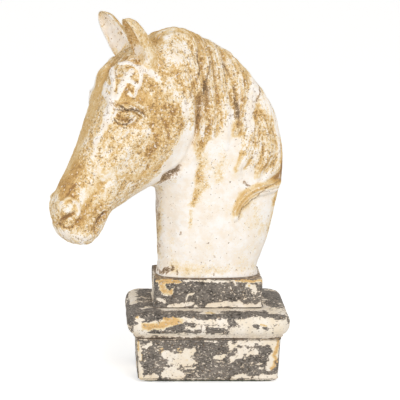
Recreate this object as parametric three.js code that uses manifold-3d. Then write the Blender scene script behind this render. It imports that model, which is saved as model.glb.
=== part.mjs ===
// A giant chess piece: a hollow cast horse's head and neck on a stepped plinth.
// Millimetres, +Z up. The origin is the centre of the rest face and the head looks along -X.

import * as THREE from "three";
import { mergeVertices } from "three/addons/utils/BufferGeometryUtils.js";
import Module from "manifold-3d";

const wasm = await Module();
wasm.setup();

// Clearances shared by every joint
const fitGap = 0.3;
const overrun = 5;

// Felt and base board
const feltThick = 2;
const feltInset = 7;
const boardThick = 9;

// Plinth box, the lowest course
const boxLength = 215;
const boxDepth = 162;
const boxHeight = 67;
const boxCorner = 9;
const boxDraft = 3;
const boxWall = 16;
const boxDeck = 16;
const bossSide = 28;

// Plinth cap, the moulded middle course
const capLength = 243;
const capDepth = 186;
const capHeight = 39;
const capCorner = 24;
const capSwell = 14;

// Neck block, the upper course
const blockLength = 160;
const blockDepth = 95;
const blockHeight = 44;
const blockCorner = 6;
const blockEdge = 3;

// Bust: a hollow casting in two halves
const bustRise = 372;
const headReach = 240;
const headHalfWidth = 60;
const castWall = 14;
const neckFloor = 16;
const headTurnAngle = THREE.MathUtils.degToRad(20);
const turnTiltAngle = THREE.MathUtils.degToRad(30);
const turnStartReach = 67;
const turnEndReach = 195;

// Ears
const earLength = 81;
const earWidth = 36;
const earHollowDepth = 54;
const earPegRadius = 5;
const earPegDepth = 10;

// Pins across the parting plane of the bust
const pinRadius = 3;
const pinLength = 24;
const pinBossRadius = 9;
const pinBossLength = 34;

// Tie rod and its ends
const rodRadius = 5;
const rodSpare = 4;
const nutAcross = 17;
const nutHeight = 8;
const washerRadius = 12;
const washerThick = 2.5;
const plateLength = 62;
const plateDepth = 46;
const plateThick = 6;

// Dowels between the courses
const dowelRadius = 4;
const dowelLength = 20;

// Board screws
const screwRadius = 2;
const screwHeadRadius = 4.5;
const screwLength = 30;
const screwHeadRise = 3;

// Heights of the courses above the floor
const boxFoot = feltThick;
const capFoot = boxFoot + boxHeight;
const blockFoot = capFoot + capHeight;
const neckSeat = blockFoot + blockHeight;
const deckUnderside = capFoot - boxDeck;

// Facets
const ringCount = 96;
const halfPoints = 28;
const coreRings = 24;
const coreHalfPoints = 7;
const roundSides = 16;
const cornerSteps = 4;
const earRings = 13;
const earPoints = 18;
const slabCells = 27;
const slabWidthShare = 3;
const slopeStep = 1e-3;

// Sections of the head and neck, from the neck's foot round the throat to the lips.
// Each: throat side ahead and up, crest side ahead and up, half width, place of the widest line,
// and the roundness of the throat side and of the crest side. Ahead is a share of headReach,
// up a share of bustRise and width a share of headHalfWidth.
const sectionShares = [
  [0.32, 0, -0.32, 0, 0.72, 0.46, 3.2, 3],
  [0.31, 0.025, -0.31, 0.03, 0.7, 0.46, 2.8, 2.6],
  [0.31, 0.06, -0.335, 0.075, 0.7, 0.44, 2.4, 2.2],
  [0.315, 0.12, -0.375, 0.145, 0.735, 0.42, 2.2, 2],
  [0.32, 0.195, -0.41, 0.24, 0.77, 0.4, 2.1, 1.8],
  [0.33, 0.265, -0.435, 0.325, 0.8, 0.38, 2.1, 1.7],
  [0.33, 0.31, -0.46, 0.41, 0.825, 0.37, 2.1, 1.65],
  [0.335, 0.34, -0.46, 0.5, 0.85, 0.36, 2.1, 1.6],
  [0.345, 0.355, -0.435, 0.585, 0.875, 0.36, 2, 1.6],
  [0.375, 0.365, -0.4, 0.665, 0.9, 0.37, 2, 1.65],
  [0.405, 0.365, -0.335, 0.735, 0.925, 0.38, 1.95, 1.7],
  [0.435, 0.36, -0.25, 0.805, 0.95, 0.39, 1.9, 1.75],
  [0.455, 0.35, -0.15, 0.87, 0.96, 0.41, 1.85, 1.8],
  [0.48, 0.34, -0.04, 0.92, 0.975, 0.43, 1.8, 1.9],
  [0.505, 0.33, 0.08, 0.96, 0.99, 0.45, 1.8, 2],
  [0.535, 0.32, 0.195, 0.99, 1, 0.48, 1.8, 2.1],
  [0.56, 0.31, 0.305, 0.985, 1, 0.51, 1.8, 2.2],
  [0.585, 0.3, 0.41, 0.96, 1, 0.53, 1.8, 2.3],
  [0.645, 0.28, 0.58, 0.9, 0.975, 0.54, 1.8, 2.5],
  [0.685, 0.26, 0.7, 0.785, 0.91, 0.54, 2, 2.9],
  [0.705, 0.235, 0.78, 0.655, 0.775, 0.52, 2.2, 3],
  [0.72, 0.21, 0.87, 0.52, 0.635, 0.5, 2.4, 2.8],
  [0.735, 0.19, 0.965, 0.41, 0.56, 0.48, 2.4, 2.4],
  [0.75, 0.18, 1.01, 0.35, 0.56, 0.47, 2.4, 2.3],
  [0.765, 0.175, 1.025, 0.29, 0.56, 0.46, 2.4, 2.3],
  [0.785, 0.165, 1.015, 0.24, 0.54, 0.46, 2.4, 2.3],
  [0.805, 0.16, 0.98, 0.195, 0.475, 0.47, 2.3, 2.3],
  [0.83, 0.16, 0.935, 0.17, 0.35, 0.48, 2.2, 2.2],
  [0.855, 0.155, 0.89, 0.16, 0.15, 0.5, 2, 2],
];
const coreLastSectionShare = 0.88;

// Raised and sunk forms of the face: place ahead and up, reach along and across as shares of
// bustRise, tilt in degrees, and lift as a share of castWall.
const massShares = [
  [0.385, 0.575, 0.135, 0.12, 20, 0.42],
  [0.63, 0.715, 0.085, 0.05, -20, 0.5],
  [0.642, 0.682, 0.032, 0.022, -15, 0.35],
  [0.555, 0.755, 0.05, 0.04, 0, -0.3],
  [0.965, 0.31, 0.06, 0.055, 10, 0.4],
  [0.955, 0.307, 0.024, 0.03, 10, -0.75],
  [0.84, 0.21, 0.06, 0.035, 0, 0.25],
  [0.64, 0.82, 0.09, 0.08, 0, 0.42],
  [0.87, 0.43, 0.07, 0.05, 50, -0.2],
];

// Lines raised or cut on the face: half width as a share of bustRise, lift as a share of
// castWall, then the points ahead and up.
const strokeShares = [
  [0.03, -0.45, [0.16, 0.73], [0.135, 0.61], [0.16, 0.555], [0.21, 0.47], [0.33, 0.42]],
  [0.035, 0.25, [0.53, 0.62], [0.68, 0.515], [0.78, 0.445]],
  [0.014, -0.4, [1.01, 0.245], [0.94, 0.255], [0.89, 0.295], [0.83, 0.31]],
  [0.016, -0.35, [0.805, 0.215], [0.755, 0.28]],
];

// The mane: its outline on each side, and its locks from the crest to the tip. A lock is its half
// width as a share of bustRise, its lift as a share of castWall, and its points.
const maneLiftShare = 0.17;
const maneEdgeShare = 0.08;
const lockTaperShare = 0.6;
const lockRiseShare = 0.2;
const nearManeShares = [
  [0.46, 0.9], [0.37, 0.87], [0.275, 0.79], [0.21, 0.71], [0.15, 0.66], [0.07, 0.585],
  [-0.01, 0.51], [-0.08, 0.45], [-0.14, 0.42], [-0.2, 0.4], [-0.28, 0.4], [-0.35, 0.4],
  [-0.42, 0.41], [-0.54, 0.47], [-0.54, 0.71], [-0.29, 0.96], [0.11, 1.11], [0.41, 1.06],
];
const farManeShares = [
  [0.44, 0.92], [0.34, 0.89], [0.22, 0.84], [0.12, 0.76], [0.04, 0.68], [-0.04, 0.6],
  [-0.1, 0.53], [-0.18, 0.45], [-0.27, 0.4], [-0.36, 0.4], [-0.54, 0.45], [-0.54, 0.71],
  [-0.29, 0.96], [0.11, 1.11], [0.41, 1.06],
];
const nearLockShares = [
  [0.027, 0.36, [0.42, 0.945], [0.37, 0.968], [0.316, 0.98], [0.248, 0.983], [0.195, 0.968],
   [0.168, 0.94], [0.168, 0.905], [0.19, 0.875]],
  [0.03, 0.21, [0.33, 0.92], [0.27, 0.86], [0.235, 0.79], [0.21, 0.72], [0.185, 0.655]],
  [0.03, 0.29, [0.22, 0.93], [0.2, 0.86], [0.17, 0.79], [0.15, 0.72], [0.115, 0.65], [0.09, 0.58]],
  [0.032, 0.36, [0.17, 1], [0.13, 0.95], [0.102, 0.882], [0.09, 0.81], [0.06, 0.74], [0.03, 0.67],
   [0.01, 0.58]],
  [0.032, 0.36, [0.06, 0.98], [0.02, 0.91], [0, 0.84], [-0.02, 0.77], [-0.06, 0.7], [-0.085, 0.62],
   [-0.09, 0.53]],
  [0.038, 0.44, [-0.03, 0.96], [-0.075, 0.905], [-0.119, 0.86], [-0.154, 0.815], [-0.177, 0.765],
   [-0.182, 0.71], [-0.174, 0.65], [-0.149, 0.59]],
  [0.032, 0.36, [-0.14, 0.91], [-0.19, 0.86], [-0.228, 0.807], [-0.246, 0.76], [-0.238, 0.712],
   [-0.226, 0.66], [-0.2, 0.6]],
  [0.038, 0.36, [-0.23, 0.86], [-0.285, 0.79], [-0.33, 0.725], [-0.355, 0.66], [-0.35, 0.6],
   [-0.325, 0.54]],
  [0.03, 0.36, [-0.25, 0.66], [-0.255, 0.61], [-0.246, 0.565], [-0.226, 0.515], [-0.198, 0.475],
   [-0.178, 0.444], [-0.184, 0.41]],
  [0.032, 0.39, [-0.3, 0.67], [-0.33, 0.6], [-0.36, 0.54], [-0.362, 0.502], [-0.338, 0.466],
   [-0.31, 0.436], [-0.298, 0.4]],
  [0.03, 0.29, [-0.27, 0.6], [-0.28, 0.54], [-0.27, 0.48], [-0.25, 0.44]],
  [0.035, 0.39, [-0.39, 0.7], [-0.413, 0.61], [-0.442, 0.55], [-0.446, 0.481], [-0.42, 0.436],
   [-0.375, 0.415], [-0.335, 0.39]],
  [0.032, 0.53, [-0.49, 0.43], [-0.455, 0.385], [-0.41, 0.365], [-0.35, 0.357], [-0.272, 0.344],
   [-0.212, 0.313], [-0.177, 0.276], [-0.164, 0.24]],
];
const farLockShares = [
  [0.035, 0.36, [0.4, 0.96], [0.32, 0.93], [0.25, 0.87], [0.2, 0.8], [0.15, 0.73]],
  [0.035, 0.36, [0.3, 1], [0.21, 0.95], [0.15, 0.88], [0.1, 0.8], [0.06, 0.71], [0.05, 0.64]],
  [0.038, 0.4, [0.16, 0.99], [0.09, 0.93], [0.04, 0.85], [0.01, 0.76], [-0.03, 0.67],
   [-0.05, 0.58]],
  [0.038, 0.36, [0.04, 0.97], [-0.02, 0.9], [-0.06, 0.82], [-0.08, 0.73], [-0.11, 0.64],
   [-0.14, 0.55]],
  [0.038, 0.43, [-0.08, 0.93], [-0.13, 0.86], [-0.16, 0.77], [-0.17, 0.68], [-0.2, 0.59],
   [-0.19, 0.5]],
  [0.038, 0.36, [-0.18, 0.88], [-0.23, 0.8], [-0.26, 0.71], [-0.27, 0.62], [-0.28, 0.53],
   [-0.25, 0.45]],
  [0.038, 0.4, [-0.27, 0.81], [-0.33, 0.72], [-0.36, 0.63], [-0.36, 0.54], [-0.34, 0.46],
   [-0.3, 0.4]],
  [0.035, 0.39, [-0.38, 0.7], [-0.42, 0.6], [-0.43, 0.51], [-0.41, 0.44], [-0.36, 0.4],
   [-0.3, 0.365]],
  [0.032, 0.43, [-0.16, 0.56], [-0.19, 0.5], [-0.2, 0.44], [-0.17, 0.39], [-0.18, 0.34]],
  [0.032, 0.43, [-0.46, 0.5], [-0.45, 0.43], [-0.41, 0.38], [-0.35, 0.345], [-0.3, 0.31],
   [-0.28, 0.27]],
];
const crestFadeWidth = 14;

// Ears: root on the crown and direction of the tip, how far each opening swivels to the head's
// left, the round tip, and the rings' shares of width, depth and hollow.
const earRootShares = { ahead: 0.49, side: 0.56, up: 0.865 };
const earTipShares = { ahead: 0.57, side: 0.25, up: 1 };
const earSinkShare = 0.26;
const earSwivelAngles = { near: THREE.MathUtils.degToRad(8), far: THREE.MathUtils.degToRad(34) };
const earTipRoundShare = 0.15;
const earLastRingShare = 0.03;
const earRingBias = 1.7;
const earRingShares = [
  [0.8, 0.84, 0.05], [0.92, 0.96, 0.1], [1, 1, 0.35], [1, 0.98, 0.64], [0.96, 0.92, 0.74],
  [0.88, 0.84, 0.76], [0.76, 0.72, 0.74], [0.62, 0.6, 0.6],
];

// Pins across the parting plane: place ahead and up.
const pinShares = {
  poll: [0.34, 0.95],
  crest: [-0.4, 0.53],
  throat: [0.25, 0.16],
  muzzle: [0.93, 0.3],
};

// Mouldings: inset and height of each line, from the foot up. The inset is a share of the
// draft, swell or edge of the course, and the height a share of its height.
const boxLineShares = [
  [2.7, 0], [1.7, 0.03], [1.1, 0.08], [1, 0.13], [0.05, 0.93], [0, 0.96], [0.15, 1],
];
const capLineShares = [
  [0.82, 0], [0.68, 0.04], [0.7, 0.1], [0.42, 0.17], [0.16, 0.3], [0.03, 0.43], [0, 0.55],
  [0.08, 0.72], [0.3, 0.86], [0.6, 0.94], [1, 0.985], [1.6, 1],
];
const blockLineShares = [
  [-0.5, 0], [-0.2, 0.05], [0, 0.13], [0, 0.9], [0.3, 0.96], [1, 1],
];
const dowelPlaceShares = { length: 0.6, depth: 0.52 };

// Finishes
function finish(color, roughness, metalness) {
  return new THREE.MeshStandardMaterial({ color, roughness, metalness });
}
const agedPlaster = finish(0xe6d3ad, 0.9, 0);
const wornPaint = finish(0x6f665c, 0.85, 0);
const plainSteel = finish(0xa8a9ab, 0.4, 1);
const beechWood = finish(0xc9a271, 0.7, 0);
const plyBoard = finish(0xb08a5c, 0.8, 0);
const greenFelt = finish(0x35503d, 1, 0);

// Turns a closed geometry into a solid whose faces point out.
function solidOf(geometry) {
  const merged = mergeVertices(bareOf(geometry.clone()));
  const points = new Float32Array(merged.attributes.position.array);
  const faces = new Uint32Array(merged.index.array);
  if (signedVolume(points, faces) < 0) {
    for (let i = 0; i < faces.length; i += 3) {
      [faces[i], faces[i + 1]] = [faces[i + 1], faces[i]];
    }
  }
  return new wasm.Manifold(
    new wasm.Mesh({ numProp: 3, vertProperties: points, triVerts: faces }),
  );
}

function signedVolume(points, faces) {
  const [a, b, c] = [new THREE.Vector3(), new THREE.Vector3(), new THREE.Vector3()];
  let sum = 0;
  for (let i = 0; i < faces.length; i += 3) {
    a.fromArray(points, faces[i] * 3);
    b.fromArray(points, faces[i + 1] * 3);
    c.fromArray(points, faces[i + 2] * 3);
    sum += a.dot(b.cross(c));
  }
  return sum;
}

function geometryOf(solid) {
  const mesh = solid.getMesh();
  const geometry = new THREE.BufferGeometry();
  geometry.setAttribute("position", new THREE.BufferAttribute(mesh.vertProperties, 3));
  geometry.setIndex(new THREE.BufferAttribute(mesh.triVerts, 1));
  geometry.computeVertexNormals();
  return geometry;
}

function named(name, geometry, material, height = 0) {
  const mesh = new THREE.Mesh(geometry, material);
  mesh.name = name;
  mesh.position.z = height;
  return mesh;
}

// A closed skin over rings of points, with a fan at each end.
function loft(rings) {
  const size = rings[0].length;
  const points = rings.flat();
  const faces = [];
  for (let r = 0; r + 1 < rings.length; r++) {
    for (let k = 0; k < size; k++) {
      const a = r * size + k;
      const b = r * size + ((k + 1) % size);
      faces.push(a, b, b + size, a, b + size, a + size);
    }
  }
  for (const [ring, start] of [[rings[0], 0], [rings.at(-1), (rings.length - 1) * size]]) {
    const centre = new THREE.Vector3();
    ring.forEach((p) => centre.addScaledVector(p, 1 / size));
    const hub = points.push(centre) - 1;
    for (let k = 0; k < size; k++) {
      const pair = [start + k, start + ((k + 1) % size)];
      faces.push(hub, ...(start === 0 ? pair.reverse() : pair));
    }
  }
  const geometry = new THREE.BufferGeometry().setFromPoints(points);
  geometry.setIndex(faces);
  return geometry;
}

// A cylinder standing on the given height.
function post(radius, length, x, y, foot, sides = roundSides) {
  const geometry = new THREE.CylinderGeometry(radius, radius, length, sides);
  geometry.rotateX(Math.PI / 2);
  return geometry.translate(x, y, foot + length / 2);
}

function brick(length, depth, height, x, y, foot) {
  return new THREE.BoxGeometry(length, depth, height).translate(x, y, foot + height / 2);
}

// A horizontal rounded rectangle.
function roundedRing(halfLength, halfDepth, corner, z) {
  const ring = [];
  const centres = [[1, 1], [-1, 1], [-1, -1], [1, -1]];
  centres.forEach(([sx, sy], quarter) => {
    for (let i = 0; i <= cornerSteps; i++) {
      const angle = (quarter + i / cornerSteps) * (Math.PI / 2);
      const x = sx * (halfLength - corner) + corner * Math.cos(angle);
      const y = sy * (halfDepth - corner) + corner * Math.sin(angle);
      ring.push(new THREE.Vector3(x, y, z));
    }
  });
  return ring;
}

// A plinth course whose outline follows a moulding.
function course(length, depth, height, corner, scale, lineShares) {
  const rings = lineShares.map(([insetShare, upShare]) => {
    const inset = insetShare * scale;
    const radius = Math.max(corner - inset, corner / 3);
    return roundedRing(length / 2 - inset, depth / 2 - inset, radius, upShare * height);
  });
  return solidOf(loft(rings));
}

// The two places where dowels register one course on another.
function dowelPlaces(length, depth) {
  const x = (dowelPlaceShares.length * length) / 2;
  const y = (dowelPlaceShares.depth * depth) / 2;
  return [[-x, -y], [x, y]];
}
const neckDowels = dowelPlaces(0.64 * headReach, blockDepth);
const blockDowels = dowelPlaces(blockLength, blockDepth);
const capDowels = dowelPlaces(boxLength, boxDepth);

function drillDowels(solid, places, jointHeight) {
  return places.reduce((rest, [x, y]) => {
    const depth = dowelLength + 2 * fitGap;
    const foot = jointHeight - depth / 2;
    return rest.subtract(solidOf(post(dowelRadius + fitGap, depth, x, y, foot)));
  }, solid);
}

function drillRod(solid, foot, height) {
  const length = height + 2 * overrun;
  return solid.subtract(solidOf(post(rodRadius + fitGap, length, 0, 0, foot - overrun)));
}

// Point on a spline through the rows of a table.
function sectionAt(place) {
  const last = sectionShares.length - 1;
  const i = Math.min(Math.floor(place), last - 1);
  const f = place - i;
  const row = (k) => sectionShares[Math.min(Math.max(k, 0), last)];
  const [p0, p1, p2, p3] = [row(i - 1), row(i), row(i + 1), row(i + 2)];
  return p1.map((v, k) => {
    const cubic = 3 * (v - p2[k]) + p3[k] - p0[k];
    const square = 2 * p0[k] - 5 * v + 4 * p2[k] - p3[k];
    return v + (f / 2) * (p2[k] - p0[k] + f * (square + f * cubic));
  });
}

// A point of the bare head and neck, inset from the skin, on the side where y is positive.
function skinPoint(place, angle, inset = 0) {
  const [va, vu, da, du, w, m, nv, nd] = sectionAt(place);
  const throat = new THREE.Vector3(-va * headReach, 0, vu * bustRise);
  const crest = new THREE.Vector3(-da * headReach, 0, du * bustRise);
  const across = crest.clone().sub(throat).setLength(inset);
  throat.add(across);
  crest.sub(across);
  const c = Math.cos(angle);
  const s = Math.abs(Math.sin(angle));
  const power = 2 / (c > 0 ? nv : nd);
  const reach = Math.abs(c) ** power;
  const t = c > 0 ? m - m * reach : m + (1 - m) * reach;
  const point = throat.lerp(crest, t);
  point.y = (w * headHalfWidth - inset) * s ** power;
  return point;
}

const smooth = THREE.MathUtils.smoothstep;

function toSide(share) {
  return [-share[0] * headReach, share[1] * bustRise];
}

// Distance to a line and how far along it, from 0 at its start to 1 at its end.
function nearestOnLine(x, z, line, closed = false) {
  let best = { distance: Infinity, along: 0 };
  const count = closed ? line.length : line.length - 1;
  for (let i = 0; i < count; i++) {
    const [ax, az] = line[i];
    const [bx, bz] = line[(i + 1) % line.length];
    const [dx, dz] = [bx - ax, bz - az];
    const share = ((x - ax) * dx + (z - az) * dz) / (dx * dx + dz * dz);
    const t = THREE.MathUtils.clamp(share, 0, 1);
    const distance = Math.hypot(x - ax - t * dx, z - az - t * dz);
    if (distance < best.distance) best = { distance, along: (i + t) / count };
  }
  return best;
}

function isInside(x, z, outline) {
  let inside = false;
  for (let i = 0, j = outline.length - 1; i < outline.length; j = i++) {
    const [ax, az] = outline[i];
    const [bx, bz] = outline[j];
    if (az > z !== bz > z && x < ((bx - ax) * (z - az)) / (bz - az) + ax) inside = !inside;
  }
  return inside;
}

// A soft bump that is 1 at its middle and 0 from a distance of 1.
function bump(ratio) {
  return ratio < 1 ? (1 - ratio * ratio) ** 2 : 0;
}

function inSizes([width, lift, ...line]) {
  return { width: width * bustRise, lift: lift * castWall, line: line.map(toSide) };
}
const strokes = strokeShares.map(inSizes);
const manes = {
  near: { outline: nearManeShares.map(toSide), locks: nearLockShares.map(inSizes) },
  far: { outline: farManeShares.map(toSide), locks: farLockShares.map(inSizes) },
};

// Height of the mane's locks: ridges that narrow to their tips, where the highest one wins.
function lockHeight(x, z, locks) {
  let height = 0;
  for (const { width, lift, line } of locks) {
    const { distance, along } = nearestOnLine(x, z, line);
    const taper = width * (1 - lockTaperShare * along * along);
    if (distance >= taper) continue;
    const round = Math.sqrt(1 - (distance / taper) ** 2);
    height = Math.max(height, lift * smooth(along, 0, lockRiseShare) * round);
  }
  return height;
}

// How far the face and mane stand above the bare head at a point of its side.
function relief(point, side) {
  const { x, z } = point;
  let lift = 0;
  for (const [ahead, up, long, high, tilt, share] of massShares) {
    const [cx, cz] = toSide([ahead, up]);
    const turn = THREE.MathUtils.degToRad(tilt);
    const u = (x - cx) * Math.cos(turn) + (z - cz) * Math.sin(turn);
    const v = (z - cz) * Math.cos(turn) - (x - cx) * Math.sin(turn);
    const ratio = Math.hypot(u / (long * bustRise), v / (high * bustRise));
    lift += share * castWall * bump(ratio);
  }
  for (const { width, lift: depth, line } of strokes) {
    lift += depth * bump(nearestOnLine(x, z, line).distance / width);
  }
  const { outline, locks } = manes[side];
  if (isInside(x, z, outline)) {
    const edge = nearestOnLine(x, z, outline, true).distance / (maneEdgeShare * bustRise);
    lift += maneLiftShare * castWall * smooth(edge, 0, 1);
  }
  lift += lockHeight(x, z, locks);
  return lift * smooth(Math.abs(point.y), 0, crestFadeWidth);
}

// Turns the head to its left as the neck rises and reaches forward.
function turnHead(point) {
  const along = Math.sin(turnTiltAngle) * point.z - Math.cos(turnTiltAngle) * point.x;
  const angle = headTurnAngle * smooth(along, turnStartReach, turnEndReach);
  return point.applyAxisAngle(new THREE.Vector3(0, 0, 1), angle);
}

function turned(geometry) {
  const places = geometry.attributes.position;
  const point = new THREE.Vector3();
  for (let i = 0; i < places.count; i++) {
    turnHead(point.fromBufferAttribute(places, i));
    places.setXYZ(i, point.x, point.y, point.z);
  }
  return geometry;
}

// The whole head with one side's relief on both sides of the parting plane.
function headSkin(side) {
  const last = sectionShares.length - 1;
  const rings = [];
  for (let r = 0; r < ringCount; r++) {
    const place = (last * r) / (ringCount - 1);
    const half = [];
    for (let k = 0; k <= halfPoints; k++) {
      const angle = (Math.PI * k) / halfPoints;
      const point = skinPoint(place, angle);
      const back = skinPoint(Math.max(place - slopeStep, 0), angle);
      const on = skinPoint(Math.min(place + slopeStep, last), angle);
      const before = skinPoint(place, Math.max(angle - slopeStep, 0));
      const after = skinPoint(place, Math.min(angle + slopeStep, Math.PI));
      const normal = on.sub(back).cross(after.sub(before));
      if (r > 0 && k > 0 && k < halfPoints && normal.length() > 0) {
        point.addScaledVector(normal.normalize(), relief(point, side));
      }
      if (r === 0) point.z = 0;
      half.push(point);
    }
    const mirrored = half.slice(1, -1).reverse();
    const other = mirrored.map((p) => new THREE.Vector3(p.x, -p.y, p.z));
    rings.push([...half, ...other]);
  }
  return solidOf(turned(loft(rings)));
}

// The hollow inside the bust, above the neck's floor.
function headCore() {
  const last = (sectionShares.length - 1) * coreLastSectionShare;
  const rings = [];
  for (let r = 0; r < coreRings; r++) {
    const half = [];
    for (let k = 0; k <= coreHalfPoints; k++) {
      const place = (last * r) / (coreRings - 1);
      half.push(skinPoint(place, (Math.PI * k) / coreHalfPoints, castWall));
    }
    const other = half.slice(1, -1).reverse().map((p) => new THREE.Vector3(p.x, -p.y, p.z));
    rings.push([...half, ...other]);
  }
  const span = 2 * headReach;
  const floorSlab = brick(span, span, neckFloor + castWall, 0, 0, -castWall);
  let core = solidOf(turned(loft(rings))).subtract(solidOf(floorSlab));
  for (const place of Object.values(pinShares)) {
    core = core.subtract(solidOf(turned(crossPin(place, pinBossRadius, pinBossLength))));
  }
  return core;
}

// A round bar across the parting plane.
function crossPin(place, radius, length) {
  const [x, z] = toSide(place);
  return new THREE.CylinderGeometry(radius, radius, length, roundSides).translate(x, 0, z);
}

// Everything on one side of the parting plane, cut fine enough to follow the head's turn.
function sideSlab(sign) {
  const [length, height] = [2 * headReach, bustRise + 2 * castWall + earLength];
  const width = slabWidthShare * headHalfWidth;
  const slab = new THREE.BoxGeometry(length, width, height, slabCells, 1, slabCells);
  slab.translate(-headReach / 2, (width + fitGap) / 2, height / 2 - castWall);
  slab.scale(1, sign, 1);
  return solidOf(turned(mergeVertices(bareOf(slab))));
}

function bareOf(geometry) {
  geometry.deleteAttribute("normal");
  geometry.deleteAttribute("uv");
  return geometry;
}

function sideName(sign) {
  return sign < 0 ? "near" : "far";
}

// Root, direction and peg of the ear on one side.
function earFrame(sign) {
  const root = new THREE.Vector3(
    -earRootShares.ahead * headReach,
    sign * earRootShares.side * headHalfWidth,
    earRootShares.up * bustRise,
  );
  const axis = new THREE.Vector3(-earTipShares.ahead, sign * earTipShares.side, earTipShares.up);
  return { root, axis: axis.normalize() };
}

function earPeg(sign, radius, depth) {
  const { root, axis } = earFrame(sign);
  const length = depth + earLength * earSinkShare;
  const geometry = new THREE.CylinderGeometry(radius, radius, length, roundSides);
  geometry.applyQuaternion(
    new THREE.Quaternion().setFromUnitVectors(new THREE.Vector3(0, 1, 0), axis),
  );
  const middle = root.clone().addScaledVector(axis, length / 2 - depth);
  return turned(bareOf(geometry.translate(middle.x, middle.y, middle.z)));
}

// A cupped leaf with a round tip, whose hollow looks forward and a little to the head's left.
function earLeaf(sign) {
  const { root, axis } = earFrame(sign);
  const aside = new THREE.Vector3(0, 1, 0).cross(axis).cross(axis).negate().normalize();
  const back = aside.clone().cross(axis).normalize();
  if (back.x < 0) back.negate();
  const swivel = Math.sign(aside.clone().cross(back).dot(axis)) * earSwivelAngles[sideName(sign)];
  for (const direction of [aside, back]) direction.applyAxisAngle(axis, -swivel);
  const sink = earLength * earSinkShare;
  const lastRow = earRingShares.length - 1;
  const rings = [];
  for (let r = 0; r < earRings; r++) {
    const left = 1 - ((1 - earLastRingShare) * r) / (earRings - 1);
    const u = 1 - left ** earRingBias;
    const i = Math.min(Math.floor(u * lastRow), lastRow - 1);
    const f = u * lastRow - i;
    const row = earRingShares[i].map((v, k) => v + f * (earRingShares[i + 1][k] - v));
    const round = Math.sqrt(1 - Math.max(0, (u - 1) / earTipRoundShare + 1) ** 2);
    const [wide, deep, cup] = [row[0] * round, row[1] * round, row[2]];
    const centre = root.clone().addScaledVector(axis, u * (earLength + sink) - sink);
    const ring = [];
    for (let k = 0; k < earPoints; k++) {
      const angle = (2 * Math.PI * k) / earPoints;
      const s = Math.sin(angle);
      const depth = s > 0 ? s : -s * (2 * cup - 1);
      const point = centre.clone().addScaledVector(aside, (wide * earWidth * Math.cos(angle)) / 2);
      ring.push(point.addScaledVector(back, (deep * earHollowDepth * depth) / 2));
    }
    rings.push(ring);
  }
  return turned(loft(rings));
}

const skins = { near: headSkin("near"), far: headSkin("far") };

function ear(name, sign) {
  const skin = skins[sideName(sign)];
  const solid = solidOf(earLeaf(sign)).subtract(skin);
  const whole = solid.add(solidOf(earPeg(sign, earPegRadius, earPegDepth)));
  const { axis } = earFrame(sign);
  const lift = axis.clone().applyAxisAngle(new THREE.Vector3(0, 0, 1), headTurnAngle);
  const mesh = named(name, geometryOf(whole), agedPlaster);
  mesh.position.copy(lift.multiplyScalar(fitGap));
  return mesh;
}

function bustShell(name, sign) {
  let solid = skins[sideName(sign)].subtract(headCore()).intersect(sideSlab(sign));
  solid = drillRod(solid, 0, neckFloor);
  solid = drillDowels(solid, neckDowels, 0);
  for (const place of Object.values(pinShares)) {
    const hole = crossPin(place, pinRadius + fitGap, pinLength + 2 * fitGap);
    solid = solid.subtract(solidOf(turned(hole)));
  }
  const socket = earPeg(sign, earPegRadius + fitGap, earPegDepth + fitGap);
  return named(name, geometryOf(solid.subtract(solidOf(socket))), agedPlaster);
}

function seamPins() {
  return Object.entries(pinShares).map(([name, place]) =>
    named(`seam_pin_${name}`, turned(crossPin(place, pinRadius, pinLength)), plainSteel),
  );
}

function hexNut() {
  const outline = new THREE.Shape();
  const corner = nutAcross / Math.sqrt(3);
  const sides = 6;
  for (let i = 0; i < sides; i++) {
    const angle = (2 * Math.PI * i) / sides;
    const spot = [corner * Math.cos(angle), corner * Math.sin(angle)];
    if (i === 0) outline.moveTo(...spot);
    else outline.lineTo(...spot);
  }
  outline.holes.push(roundHole(rodRadius + fitGap));
  return extrude(outline, nutHeight);
}

function roundHole(radius) {
  const hole = new THREE.Path();
  hole.absarc(0, 0, radius, 0, 2 * Math.PI, true);
  return hole;
}

function extrude(outline, depth) {
  return new THREE.ExtrudeGeometry(outline, {
    depth,
    bevelEnabled: false,
    curveSegments: roundSides / 2,
  });
}

function washer() {
  const outline = new THREE.Shape();
  outline.absarc(0, 0, washerRadius, 0, 2 * Math.PI);
  outline.holes.push(roundHole(rodRadius + fitGap));
  return extrude(outline, washerThick);
}

// Rod, plate, washers and nuts that pull the bust down on the plinth.
function tieRodSet() {
  const floorTop = neckSeat + neckFloor;
  const plateTop = floorTop + plateThick;
  const topNutFoot = plateTop + washerThick;
  const lowWasherFoot = deckUnderside - washerThick;
  const lowNutFoot = lowWasherFoot - nutHeight;
  const rodFoot = lowNutFoot - rodSpare;
  const rodLength = topNutFoot + nutHeight + rodSpare - rodFoot;
  const plate = drillRod(solidOf(brick(plateLength, plateDepth, plateThick, 0, 0, 0)), 0, plateThick);
  return [
    named("tie_rod", post(rodRadius, rodLength, 0, 0, 0), plainSteel, rodFoot),
    named("anchor_plate", geometryOf(plate), plainSteel, floorTop),
    named("anchor_washer", washer(), plainSteel, plateTop),
    named("anchor_nut", hexNut(), plainSteel, topNutFoot),
    named("rod_washer", washer(), plainSteel, lowWasherFoot),
    named("rod_nut", hexNut(), plainSteel, lowNutFoot),
  ];
}

function neckBlock() {
  let solid = course(
    blockLength, blockDepth, blockHeight, blockCorner, blockEdge, blockLineShares,
  );
  solid = drillDowels(drillRod(solid, 0, blockHeight), neckDowels, blockHeight);
  solid = drillDowels(solid, blockDowels, 0);
  return named("neck_block", geometryOf(solid), wornPaint, blockFoot);
}

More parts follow.
